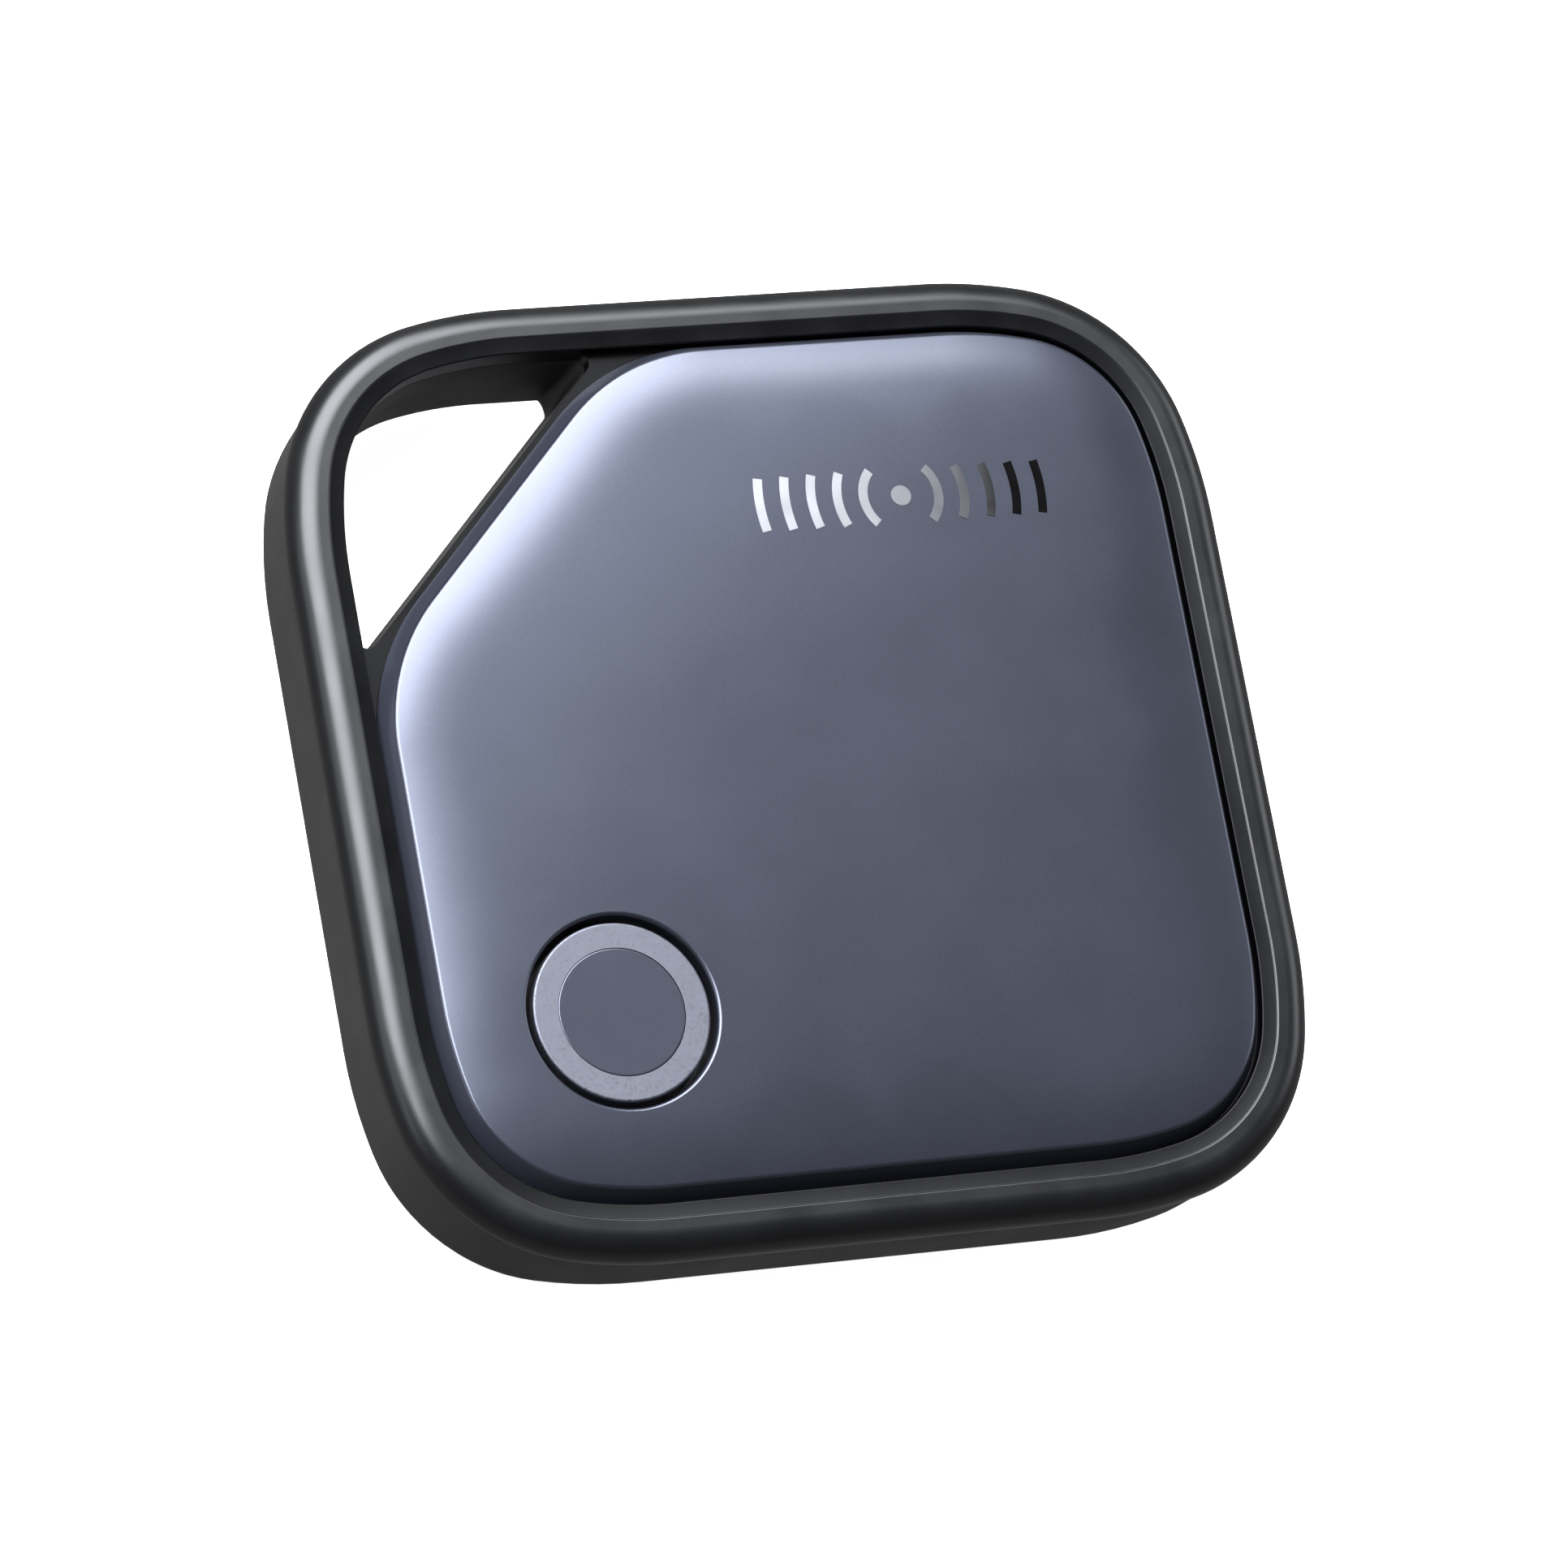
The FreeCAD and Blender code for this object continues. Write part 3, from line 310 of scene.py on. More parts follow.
def moulded(name, colour, roughness, grain_mm=0.09, grain_height=0.0012, **settings):
    """Moulded plastic: fine spark-eroded grain, faint flow marks and uneven sheen, with painted shade in
    marked places.

    A marked place gets its low reflection from a metal share, because its base colour is nearly black: a
    painted shade.
    """
    surface = Surface(name, colour, roughness, **settings)
    surface.mottle(surface.noise(1.7, detail=5.0), 0.08)
    surface.patchy(surface.noise(2.6, detail=4.0), 0.04)
    surface.bump(surface.noise(grain_mm, detail=3.0), grain_height)
    # Painted shade: a marked place takes a metal share that darkens its reflection.
    surface.painted_light_and_shade_share(0.0, 0.7)
    return surface


def metallic_paint(name, colour, roughness):
    """Satin paint with fine metal flake under a thin clear coat. Marked places get less metal, a painted
    light that makes them show lighter.
    """
    surface = Surface(name, colour, roughness, metallic=0.84, Coat_Weight=0.5, Coat_Roughness=0.2)
    # Painted light: marked places, the panel's bevel, take less metal so that they show lighter.
    surface.painted_light_and_shade_share(0.84, 0.64)
    grains = surface.node("TexVoronoi", Scale=1.0 / (0.045 * MM))
    surface.link(surface.place, grains.inputs["Vector"])
    surface.mottle(grains.outputs["Color"], 0.04)
    surface.patchy(surface.noise(3.2, detail=5.0), 0.012)
    surface.bump(surface.noise(0.06, detail=2.0), 0.0002)
    return surface


def brushed(name, colour, roughness, lines, depth=0.0006, mottle=0.08):
    """Drawn or ground metal: lines holds the texture's scale along X, Y and Z."""
    surface = Surface(name, colour, roughness, metallic=1.0)
    streaks = surface.noise(0.12, detail=4.0, place=surface.stretched(lines))
    surface.mottle(surface.noise(0.9, detail=6.0), mottle)
    surface.patchy(streaks, 0.10)
    surface.bump(streaks, depth)
    return surface


def rubber(name, colour):
    """Matt elastomer: soft grain, dust-pale patches."""
    surface = Surface(name, colour, 0.75, Sheen_Weight=0.2, Sheen_Roughness=0.5)
    surface.mottle(surface.noise(0.8, detail=6.0), 0.18)
    surface.patchy(surface.noise(1.5, detail=3.0), 0.06)
    surface.bump(surface.noise(0.07, detail=4.0), 0.003)
    return surface


def foam(name, colour):
    """Closed-cell foam: small round cells cut open at the surface."""
    surface = Surface(name, colour, 0.9)
    cells = surface.node("TexVoronoi", Scale=1.0 / (0.16 * MM))
    surface.link(surface.place, cells.inputs["Vector"])
    surface.mottle(cells.outputs["Distance"], 0.35)
    surface.patchy(surface.noise(1.0), 0.05)
    surface.bump(cells.outputs["Distance"], 0.03)
    return surface


def ceramic(name, colour, roughness=0.4):
    """Fired ceramic: pale grains, slightly uneven glaze."""
    surface = Surface(name, colour, roughness)
    surface.mottle(surface.noise(0.12, detail=6.0), 0.12)
    surface.patchy(surface.noise(0.4, detail=3.0), 0.12)
    surface.bump(surface.noise(0.05, detail=4.0), 0.001)
    return surface


def film(name, colour):
    """Double-sided adhesive film: milky, with faint trapped bubbles."""
    surface = Surface(name, colour, 0.35, Transmission_Weight=0.25)
    bubbles = surface.node("TexVoronoi", Scale=1.0 / (0.7 * MM))
    surface.link(surface.place, bubbles.inputs["Vector"])
    surface.mottle(bubbles.outputs["Distance"], 0.15)
    surface.patchy(surface.noise(0.6, detail=3.0), 0.1)
    surface.bump(surface.noise(0.4, detail=2.0), 0.002)
    return surface


# The sockets of a Mix node that mixes colours.
MIX_FACTOR = 0
MIX_FIRST = 6
MIX_SECOND = 7
MIX_RESULT = 2


def solder_mask(name, colour):
    """Glossy solder mask over raised, paler copper tracks, with bare laminate on the cut edges."""
    surface = Surface(name, colour, 0.3, Coat_Weight=0.4, Coat_Roughness=0.2)
    tracks = surface.node("TexBrick", Scale=1.0 / (2.3 * MM), Bias=-0.4)
    tracks.inputs["Mortar Size"].default_value = 0.06
    tracks.inputs["Mortar Smooth"].default_value = 0.2
    tracks.inputs["Color1"].default_value = (0.0, 0.0, 0.0, 1.0)
    tracks.inputs["Color2"].default_value = (0.25, 0.25, 0.25, 1.0)
    tracks.inputs["Mortar"].default_value = WHITE
    surface.link(surface.place, tracks.inputs["Vector"])
    pale = tuple(channel * 2.2 + 0.01 for channel in colour)
    masked = surface.tint(tracks.outputs["Color"], colour, pale, 0.2, 0.9)
    layers = surface.noise(0.25, detail=3.0, place=surface.stretched((1.0, 1.0, 9.0)))
    laminate = surface.tint(layers, (0.12, 0.125, 0.05), (0.22, 0.22, 0.10))

    facing = surface.node("SeparateXYZ")
    surface.link(surface.node("NewGeometry").outputs["Normal"], facing.inputs["Vector"])
    level = surface.node("Math")
    level.operation = "ABSOLUTE"
    surface.link(facing.outputs["Z"], level.inputs[0])
    blend = surface.node("Mix")
    blend.data_type = "RGBA"
    surface.link(level.outputs[0], blend.inputs[MIX_FACTOR])
    surface.link(laminate, blend.inputs[MIX_FIRST])
    surface.link(masked, blend.inputs[MIX_SECOND])
    surface.link(blend.outputs[MIX_RESULT], surface.shader.inputs["Base Color"])

    raised = surface.node("Math")
    raised.operation = "MULTIPLY"
    surface.link(tracks.outputs["Color"], raised.inputs[0])
    surface.link(level.outputs[0], raised.inputs[1])
    surface.patchy(surface.noise(0.5, detail=4.0), 0.08)
    surface.bump(raised.outputs[0], 0.02)
    surface.bump(surface.noise(0.05, detail=2.0), 0.0008)
    return surface


def foil(name, start, end):
    """Stamped foil whose base colour runs from silver to black between two places along X, in millimetres.
    """
    surface = Surface(name, (0.92, 0.93, 0.97), 0.30, metallic=0.9)
    split = surface.node("SeparateXYZ")
    surface.link(surface.place, split.inputs["Vector"])
    along = surface.node("MapRange")
    along.inputs["From Min"].default_value = start * MM
    along.inputs["From Max"].default_value = end * MM
    surface.link(split.outputs["X"], along.inputs["Value"])
    silver = (0.40, 0.42, 0.46)
    black = (0.004, 0.004, 0.005)
    fade = surface.tint(along.outputs["Result"], silver, black, 0.30, 0.85)
    surface.link(fade, surface.shader.inputs["Base Color"])
    surface.patchy(surface.noise(0.8, detail=3.0), 0.03)
    return surface


def studio_floor(name):
    """A pale, evenly lit table. The tag sees it dimmer than the camera does, so dark sides stay dark."""
    surface = Surface(name, (0.93, 0.93, 0.94), 0.85)
    surface.mottle(surface.noise(6.0, detail=4.0), 0.01)
    surface.bump(surface.noise(1.0, detail=2.0), 0.004)
    surface.put("Emission Color", WHITE)
    surface.put("Emission Strength", 0.93)
    thrown = surface.node("Emission", Color=WHITE, Strength=0.25)
    seen = surface.node("LightPath")
    mix = surface.node("MixShader")
    surface.link(seen.outputs["Is Camera Ray"], mix.inputs["Fac"])
    surface.link(thrown.outputs[0], mix.inputs[1])
    surface.link(surface.shader.outputs[0], mix.inputs[2])
    surface.link(mix.outputs[0], surface.tree.nodes["Material Output"].inputs["Surface"])
    return surface


SATIN_PAINT = (0.062, 0.0695, 0.100)

# Metal without a direction: its streaks are as long as they are wide.
EVEN = (1.0, 1.0, 1.0)

SURFACES = {
    "case_rear": moulded("case_rear", (0.031, 0.0305, 0.0325), 0.55, Specular_IOR_Level=0.35),
    "case_front": moulded("case_front", (0.0025, 0.0027, 0.003), 0.33, Specular_IOR_Level=0.6,
                          Specular_Tint=(0.92, 0.94, 1.0, 1.0)),
    "panel_paint": metallic_paint("panel_paint", SATIN_PAINT, 0.31),
    "button_paint": metallic_paint("button_paint", SATIN_PAINT, 0.32),
    "button_ring_metal": brushed("button_ring_metal", (0.135, 0.142, 0.175), 0.50, EVEN,
                                 depth=0.0002, mottle=0.03),
    "adhesive_film": film("adhesive_film", (0.55, 0.55, 0.5)),
    "silicone_seal": rubber("silicone_seal", (0.12, 0.12, 0.125)),
    "silicone_button": rubber("silicone_button", (0.03, 0.03, 0.032)),
    "foam_pad": foam("foam_pad", (0.06, 0.06, 0.062)),
    "cell_steel": brushed("cell_steel", (0.66, 0.65, 0.62), 0.28, (1.0, 14.0, 1.0)),
    "cell_cap_steel": brushed("cell_cap_steel", (0.70, 0.69, 0.66), 0.30, (1.0, 14.0, 1.0)),
    "cell_nylon": moulded("cell_nylon", (0.62, 0.60, 0.54), 0.5),
    "well_plastic": moulded("well_plastic", (0.025, 0.025, 0.026), 0.5),
    "contact_metal": brushed("contact_metal", (0.78, 0.60, 0.27), 0.26, (12.0, 1.0, 1.0)),
    "board": solder_mask("board", (0.012, 0.060, 0.030)),
    "chip_black": moulded("chip_black", (0.022, 0.022, 0.024), 0.55, grain_mm=0.05, grain_height=0.002),
    "antenna_ceramic": ceramic("antenna_ceramic", (0.70, 0.71, 0.68), 0.35),
    "crystal_can": brushed("crystal_can", (0.68, 0.67, 0.64), 0.3, (8.0, 1.0, 1.0)),
    "passive_body": ceramic("passive_body", (0.30, 0.20, 0.12)),
    "gold_pad": brushed("gold_pad", (0.83, 0.62, 0.25), 0.3, EVEN),
    "screw_steel": brushed("screw_steel", (0.30, 0.30, 0.31), 0.3, (1.0, 1.0, 6.0)),
    "switch_housing": moulded("switch_housing", (0.05, 0.05, 0.052), 0.5),
    "spring_steel": brushed("spring_steel", (0.66, 0.66, 0.66), 0.22, (1.0, 10.0, 1.0)),
    "piezo_brass": brushed("piezo_brass", (0.74, 0.56, 0.24), 0.28, (1.0, 16.0, 1.0)),
    "piezo_white": ceramic("piezo_white", (0.74, 0.73, 0.69), 0.45),
}


def dress_cad_nodes():
    """Give every CAD node the surface of the slot that the record names for it."""
    for part in frame["record"]["subparts"]:
        mesh = frame["nodes"][part["node"]].data
        mesh.materials.clear()
        mesh.materials.append(SURFACES[part["material_slot"]].material)


# ---------------------------------------------------------------- outlines, in millimetres


def polar(radius, angle):
    """A point by its distance from the origin and its angle from +X."""
    return Vector((radius * math.cos(angle), radius * math.sin(angle)))


def arc(centre, radius, start, end, steps):
    """Points along an arc, both ends included."""
    return [centre + polar(radius, start + (end - start) * step / steps) for step in range(steps + 1)]


QUARTER = math.pi / 2
EIGHTH = math.pi / 4
CORNER_STEP = CORNER_BIG - CORNER_SMALL
CORNER_REACH = CORNER_BIG - CORNER_STEP * (math.cos(CORNER_SWEEP) - math.sin(CORNER_SWEEP))
SIDE_END = HALF_WIDTH - CORNER_REACH
TIP_TANGENT = HOLE_TIP / math.tan(EIGHTH / 2)
TIP_STOP = HOLE_SLANT * math.sqrt(2) - (HALF_WIDTH - LEDGE_INSET) + TIP_TANGENT

# Steps along each kind of arc and along the slant, and stops on the sides beside a cut corner.
FLAT_STEPS = 8
TIGHT_STEPS = 20
BLEND_STEPS = 14
TIP_STEPS = 8
SLANT_STEPS = 6
CUT_STOPS = (4.5, 2.0)


def corner_arcs(inset):
    """Centre, radius, start and end of the +X +Y corner's flat, tight and flat arcs."""
    first = Vector((HALF_WIDTH - CORNER_BIG, SIDE_END))
    tight = first + polar(CORNER_STEP, CORNER_SWEEP)
    last = tight - polar(CORNER_STEP, QUARTER - CORNER_SWEEP)
    return (
        (first, CORNER_BIG - inset, 0.0, CORNER_SWEEP),
        (tight, CORNER_SMALL - inset, CORNER_SWEEP, QUARTER - CORNER_SWEEP),
        (last, CORNER_BIG - inset, QUARTER - CORNER_SWEEP, QUARTER),
    )


def turned_quarter(points, quarter):
    """Points turned about the origin by a number of quarter turns."""
    turn = Matrix.Rotation(quarter * QUARTER, 2)
    return [turn @ point for point in points]


def corner(inset, quarter):
    """The points of one corner, turned by quarter turns from the +X +Y one."""
    first, tight, last = corner_arcs(inset)
    points = arc(*first, FLAT_STEPS)[:-1] + arc(*tight, TIGHT_STEPS)[:-1] + arc(*last, FLAT_STEPS)
    return turned_quarter(points, quarter)


def side(inset, quarter):
    """Stops along the straight side that follows a corner."""
    across = HALF_WIDTH - inset
    points = [Vector((along, across)) for along in (TIP_STOP, 0.0, -TIP_STOP)]
    return turned_quarter(points, quarter)


def square_outline(inset):
    """The case's rounded square, inset from its largest outline."""
    points = []
    for quarter in range(4):
        points += corner(inset, quarter) + side(inset, quarter)
    return points


CORNER_COUNT = len(corner(0.0, 0))
SIDE_COUNT = len(side(0.0, 0))
HOLE_FIRST = CORNER_COUNT + SIDE_COUNT - 1
HOLE_LAST = 2 * CORNER_COUNT + SIDE_COUNT


def between(one, other):
    """Points on the slant between its two ends, which are left out."""
    return [one.lerp(other, step / SLANT_STEPS) for step in range(1, SLANT_STEPS)]


def cut_outline(inset, slant, blend):
    """The rounded square with its -X +Y corner cut off at a distance slant from the centre."""
    half = HALF_WIDTH - inset
    slope = slant * math.sqrt(2)
    tangent = blend * math.tan(EIGHTH / 2)
    top_centre = Vector((half - slope + tangent, half - blend))
    left_centre = Vector((blend - half, slope - half - tangent))
    top_arc = arc(top_centre, blend, QUARTER, QUARTER + EIGHTH, BLEND_STEPS)
    left_arc = arc(left_centre, blend, QUARTER + EIGHTH, math.pi, BLEND_STEPS)
    return (
        corner(inset, 0)
        + [Vector((stop, half)) for stop in CUT_STOPS]
        + top_arc + between(top_arc[-1], left_arc[0]) + left_arc
        + [Vector((-half, -stop)) for stop in reversed(CUT_STOPS)]
        + corner(inset, 2) + side(inset, 2)
        + corner(inset, 3) + side(inset, 3)
    )


def hole_tips_and_slant():
    """The hole's outline from its tip on the left side, along the slant, to its tip at the top."""
    half = HALF_WIDTH - LEDGE_INSET
    low_centre = Vector((HOLE_TIP - half, TIP_STOP))
    high_centre = Vector((-TIP_STOP, half - HOLE_TIP))
    low_tip = arc(low_centre, HOLE_TIP, math.pi, math.pi + 3 * EIGHTH, TIP_STEPS)
    high_tip = arc(high_centre, HOLE_TIP, -EIGHTH, QUARTER, TIP_STEPS)
    return low_tip[1:] + between(low_tip[-1], high_tip[0]) + high_tip[:-1]


def circle(centre, radius, steps=72):
    """Points once round a circle."""
    return [Vector(centre[:2]) + polar(radius, 2 * math.pi * step / steps) for step in range(steps)]


# ---------------------------------------------------------------- mesh kit


class Shell:
    """A closed mesh made from loops, bands of faces between them, and fills."""

    def __init__(self, name):
        self.name = name
        self.mesh = bmesh.new()
        # A layer that marks where light and shade are painted.
        self.painted_light_and_shade_layer = self.mesh.verts.layers.float.new("painted_light_and_shade")

    def painted_light_and_shade(self, *loops):
        """Mark loops for painted light and shade: the materials give them another metal share."""
        for loop in loops:
            for vertex in loop:
                vertex[self.painted_light_and_shade_layer] = 1.0

    def loop(self, points, height):
        """Vertices at points; height is one number, or a function of x and y."""
        made = []
        for point in points:
            z = height(point.x, point.y) if callable(height) else height
            made.append(self.mesh.verts.new(Vector((point.x, point.y, z)) * MM))
        return made

    def bridge(self, *loops):
        """A band of faces from each loop to the next."""
        for one, other in zip(loops, loops[1:]):
            for index in range(len(one)):
                following = (index + 1) % len(one)
                self.mesh.faces.new((one[index], one[following], other[following], other[index]))

    def fill(self, *loops):
        """Triangles across the first loop, with the other loops as holes in it."""
        vertices = [vertex for loop in loops for vertex in loop]
        outlines = [[vertex.co / MM for vertex in loop] for loop in loops]
        for triangle in geometry.tessellate_polygon(outlines):
            self.mesh.faces.new([vertices[index] for index in triangle])

    def lathe(self, centre, profile):
        """A closed turned piece from (radius, height) points; radius 0 is a pole."""
        steps = 96
        loops = []
        for radius, height in profile:
            if radius < TINY:
                loops.append(self.loop([Vector(centre[:2])], height))
            else:
                loops.append(self.loop(circle(centre, radius, steps), height))
        for lower, upper in zip(loops, loops[1:]):
            if len(lower) == 1 or len(upper) == 1:
                pole, ring = (lower, upper) if len(lower) == 1 else (upper, lower)
                for index in range(steps):
                    self.mesh.faces.new((pole[0], ring[index], ring[(index + 1) % steps]))
            else:
                self.bridge(lower, upper)
        if len(loops[0]) > 1 and len(loops[-1]) > 1:
            self.bridge(loops[-1], loops[0])

    def finish(self, body, slot, *nodes, sharp=35.0):
        """Turn the shell into a shaded object that rides on a body and stands for CAD nodes."""
        bmesh.ops.recalc_face_normals(self.mesh, faces=self.mesh.faces)
        data = bpy.data.meshes.new(self.name)
        self.mesh.to_mesh(data)
        self.mesh.free()
        data.shade_smooth()
        data.set_sharp_from_angle(angle=math.radians(sharp))
        data.materials.append(SURFACES[slot].material)
        made = bpy.data.objects.new(self.name, data)
        bpy.context.scene.collection.objects.link(made)
        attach(made, body)
        if nodes:
            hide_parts(*nodes)
        return made


def rounded(centre, radius, start, end, steps):
    """Profile points round an edge: an arc about a centre, with its angles in degrees."""
    points = arc(Vector(centre), radius, math.radians(start), math.radians(end), steps)
    return [(point.x, point.y) for point in points]


# ---------------------------------------------------------------- front frame


def frame_profile():
    """The bezel's insets and heights, up its outside and in over its rim, and where its ledge starts.

    A support is an extra loop beside a rounded edge, which keeps the shading of that edge crisp.
    """
    support = 0.03
    foot = 0.10
    foot_round = 0.03
    lip = 0.08
    lip_stop = 38.0
    cove = 0.04
    edge = 0.05
    ledge_tilt = 6.0
    ledge_fall = 0.003
    ledge_low = FRAME_TOP - LEDGE_STEP

    profile = [(foot, SEAM), (foot_round, SEAM + foot_round), (0.0, SEAM + foot)]
    profile.append((0.0, FRAME_TOP - FRAME_ROUND - support))
    profile += rounded((FRAME_ROUND, FRAME_TOP - FRAME_ROUND), FRAME_ROUND, 180, 90, 18)
    profile.append((FRAME_ROUND + support, FRAME_TOP))
    profile.append((RIM_INSET - lip - support, FRAME_TOP))
    profile += rounded((RIM_INSET - lip, FRAME_TOP - lip), lip, 90, lip_stop, 6)
    across = (lip + cove) * math.cos(math.radians(lip_stop)) - lip
    down = lip - (lip + cove) * math.sin(math.radians(lip_stop))
    cove_centre = (RIM_INSET + across, FRAME_TOP - down)
    profile += rounded(cove_centre, cove, 180 + lip_stop, 270 - ledge_tilt, 5)[1:]
    ledge_start = len(profile) - 1
    profile.append((LEDGE_INSET - edge - support, ledge_low + ledge_fall))
    profile += rounded((LEDGE_INSET - edge, ledge_low - edge), edge, 90 - ledge_tilt, 0, 5)
    profile.append((LEDGE_INSET, ledge_low - edge - support))
    return profile, ledge_start


def front_frame():
    """The bezel with its rounded-over edge, crisp rim, sunken ledge, deck, rib and screw bosses."""
    shell = Shell("bezel_frame")
    profile, ledge_start = frame_profile()
    loops = [shell.loop(square_outline(inset), height) for inset, height in profile]
    shell.bridge(*loops)
    outer_bottom = loops[0]
    # Painted shade: the sunken ledge is marked to be darkened.
    shell.painted_light_and_shade(*loops[ledge_start:])

    wall = shell.loop(square_outline(LEDGE_INSET), DECK_TOP)
    shell.bridge(loops[-1], wall)
    slant_top = shell.loop(hole_tips_and_slant(), DECK_TOP)
    hole_top = wall[HOLE_FIRST:HOLE_LAST + 1] + slant_top
    hole_bottom = shell.loop([vertex.co.xy / MM for vertex in hole_top], SEAM)
    shell.bridge(hole_top, hole_bottom)
    # Painted shade: the wall under the ledge and the key-ring hole's walls are marked to be darkened.
    shell.painted_light_and_shade(wall, slant_top, hole_bottom)

    stem_top = shell.loop(circle(BUTTON, STEM_HOLE_RADIUS), DECK_TOP)
    stem_bottom = shell.loop(circle(BUTTON, STEM_HOLE_RADIUS), SEAM)
    shell.bridge(stem_top, stem_bottom)
    deck = wall[HOLE_LAST:] + wall[:HOLE_FIRST + 1] + slant_top[::-1]
    shell.fill(deck, stem_top)

    rib_outer = cut_outline(RIB_INSET, RIB_SLANT, RIB_BLEND)
    rib_inner = cut_outline(RIB_INSET + RIB_THICKNESS, RIB_SLANT - RIB_THICKNESS,
                            RIB_BLEND - RIB_THICKNESS)
    outer_top = shell.loop(rib_outer, SEAM)
    outer_low = shell.loop(rib_outer, SEAM - RIB_DEPTH)
    inner_low = shell.loop(rib_inner, SEAM - RIB_DEPTH)
    inner_top = shell.loop(rib_inner, SEAM)
    shell.bridge(outer_top, outer_low, inner_low, inner_top)
    shell.fill(outer_bottom, hole_bottom, outer_top)

    boss_loops = []
    for angle in BOSS_ANGLES:
        centre = Vector(CELL[:2]) + polar(BOSS_CIRCLE, math.radians(angle))
        foot = shell.loop(circle(centre, BOSS_RADIUS, BOSS_STEPS), SEAM)
        rim = shell.loop(circle(centre, BOSS_RADIUS, BOSS_STEPS), FRAME_LOW.z)
        mouth = shell.loop(circle(centre, PILOT_RADIUS, BOSS_STEPS), FRAME_LOW.z)
        pilot_floor = shell.loop(circle(centre, PILOT_RADIUS, BOSS_STEPS), SEAM - PILOT_STOP)
        shell.bridge(foot, rim, mouth, pilot_floor)
        shell.fill(pilot_floor)
        boss_loops.append(foot)
    shell.fill(inner_top, stem_bottom, *boss_loops)
    shell.finish("front", "case_front", "front_frame")


# ---------------------------------------------------------------- front panel

PANEL_RISE = PANEL_EDGE - PANEL_LOW.z
PANEL_DRAW = PANEL_RISE * math.tan(PANEL_BEVEL)
PANEL_INSET = PANEL_BASE_INSET + PANEL_DRAW
PANEL_HALF = HALF_WIDTH - PANEL_INSET
PANEL_SLANT = PANEL_BASE_SLANT - PANEL_DRAW
PANEL_BLEND_TOP = PANEL_BLEND - PANEL_DRAW
PANEL_CROWN = PANEL_HIGH.z - PANEL_EDGE
PANEL_ROUND = 0.22
PANEL_EDGE_TILT = math.radians(11)
ROLL_HEIGHT = 0.20
ROLL_WIDTH = 3.2
DOME_POWER = 3.0
SETTLE_WIDTH = 4.0
TOP_PITCH = 0.55
RING_GAP = 0.2

# Depths of the rings of points inside the panel's edge, and distances of those round its hole.
EDGE_RINGS = (0.2, 0.3, 0.4, 0.55, 0.75, 1.0, 1.3, 1.65, 2.05, 2.5, 3.0, 3.6)
HOLE_RINGS = (0.18, 0.3, 0.5, 0.8, 1.2)

# The hole's edge, upwards: distance beyond the hole's radius, and depth under the panel's top.
HOLE_EDGE = ((-0.10, 0.20), (-0.095, 0.13), (-0.065, 0.06), (-0.02, 0.02), (0.04, 0.0))


def in_span(angle, start, end):
    """Whether an angle lies between two others, or on one of them."""
    return start - TINY <= angle <= end + TINY


def panel_depth(x, y):
    """Distance from the panel's top edge, measured inwards."""
    slanted = (y - x) / math.sqrt(2)
    depth = min(PANEL_HALF - abs(x), PANEL_HALF - abs(y), PANEL_SLANT - slanted)
    point = Vector((x, y))
    for quarter in (0, 2, 3):
        local = Matrix.Rotation(-quarter * QUARTER, 2) @ point
        for centre, radius, start, end in corner_arcs(PANEL_INSET):
            away = local - centre
            if in_span(math.atan2(away.y, away.x), start, end):
                depth = min(depth, radius - away.length)
    slope = PANEL_SLANT * math.sqrt(2)
    tangent = PANEL_BLEND_TOP * math.tan(EIGHTH / 2)
    for mirrored in (False, True):
        local = Vector((-y, -x)) if mirrored else point
        centre = Vector((PANEL_HALF - slope + tangent, PANEL_HALF - PANEL_BLEND_TOP))
        away = local - centre
        if in_span(math.atan2(away.y, away.x), QUARTER, QUARTER + EIGHTH):
            depth = min(depth, PANEL_BLEND_TOP - away.length)
    return max(0.0, depth)


def panel_height(x, y):
    """The pillow: a level edge, a soft roll inside it, then a broad dome."""
    depth = panel_depth(x, y)
    share = min(1.0, depth / ROLL_WIDTH)
    roll = ROLL_HEIGHT * (1.0 - (1.0 - share) ** 3)
    slanted = max(0.0, (y - x) / math.sqrt(2))
    dome = 1.0
    for reach, half in ((abs(x), PANEL_HALF), (abs(y), PANEL_HALF), (slanted, PANEL_SLANT)):
        dome *= 1.0 - min(1.0, reach / half) ** DOME_POWER
    settle = 1.0 - (1.0 - min(1.0, depth / SETTLE_WIDTH)) ** 3
    return PANEL_EDGE + roll + (PANEL_CROWN - ROLL_HEIGHT) * dome * settle


def panel_normal(x, y):
    """The pillow's upward normal."""
    step = 0.02
    slope_x = (panel_height(x + step, y) - panel_height(x - step, y)) / (2 * step)
    slope_y = (panel_height(x, y + step) - panel_height(x, y - step)) / (2 * step)
    return Vector((-slope_x, -slope_y, 1.0)).normalized()


def hole_circle(extra):
    """Points round the button's hole, extra beyond its radius."""
    return circle(BUTTON, BUTTON_HOLE_RADIUS + extra, BUTTON_HOLE_STEPS)


def panel_top_points():
    """Points over the panel's top: rings round the button, rings along the edge, and a grid."""
    points = []
    for extra in HOLE_RINGS:
        points += hole_circle(extra)
    clear_of_hole = BUTTON_HOLE_RADIUS + HOLE_RINGS[-1] + RING_GAP
    button = Vector(BUTTON[:2])
    for depth in EDGE_RINGS:
        outline = panel_outline(depth)
        points += [point for point in outline if (point - button).length > clear_of_hole]
    count = int(PANEL_HALF / TOP_PITCH)
    for column in range(-count, count + 1):
        for row in range(-count, count + 1):
            point = Vector((column * TOP_PITCH, row * TOP_PITCH))
            clear = (point - button).length > clear_of_hole
            if clear and panel_depth(*point) > EDGE_RINGS[-1] + RING_GAP:
                points.append(point)
    return points


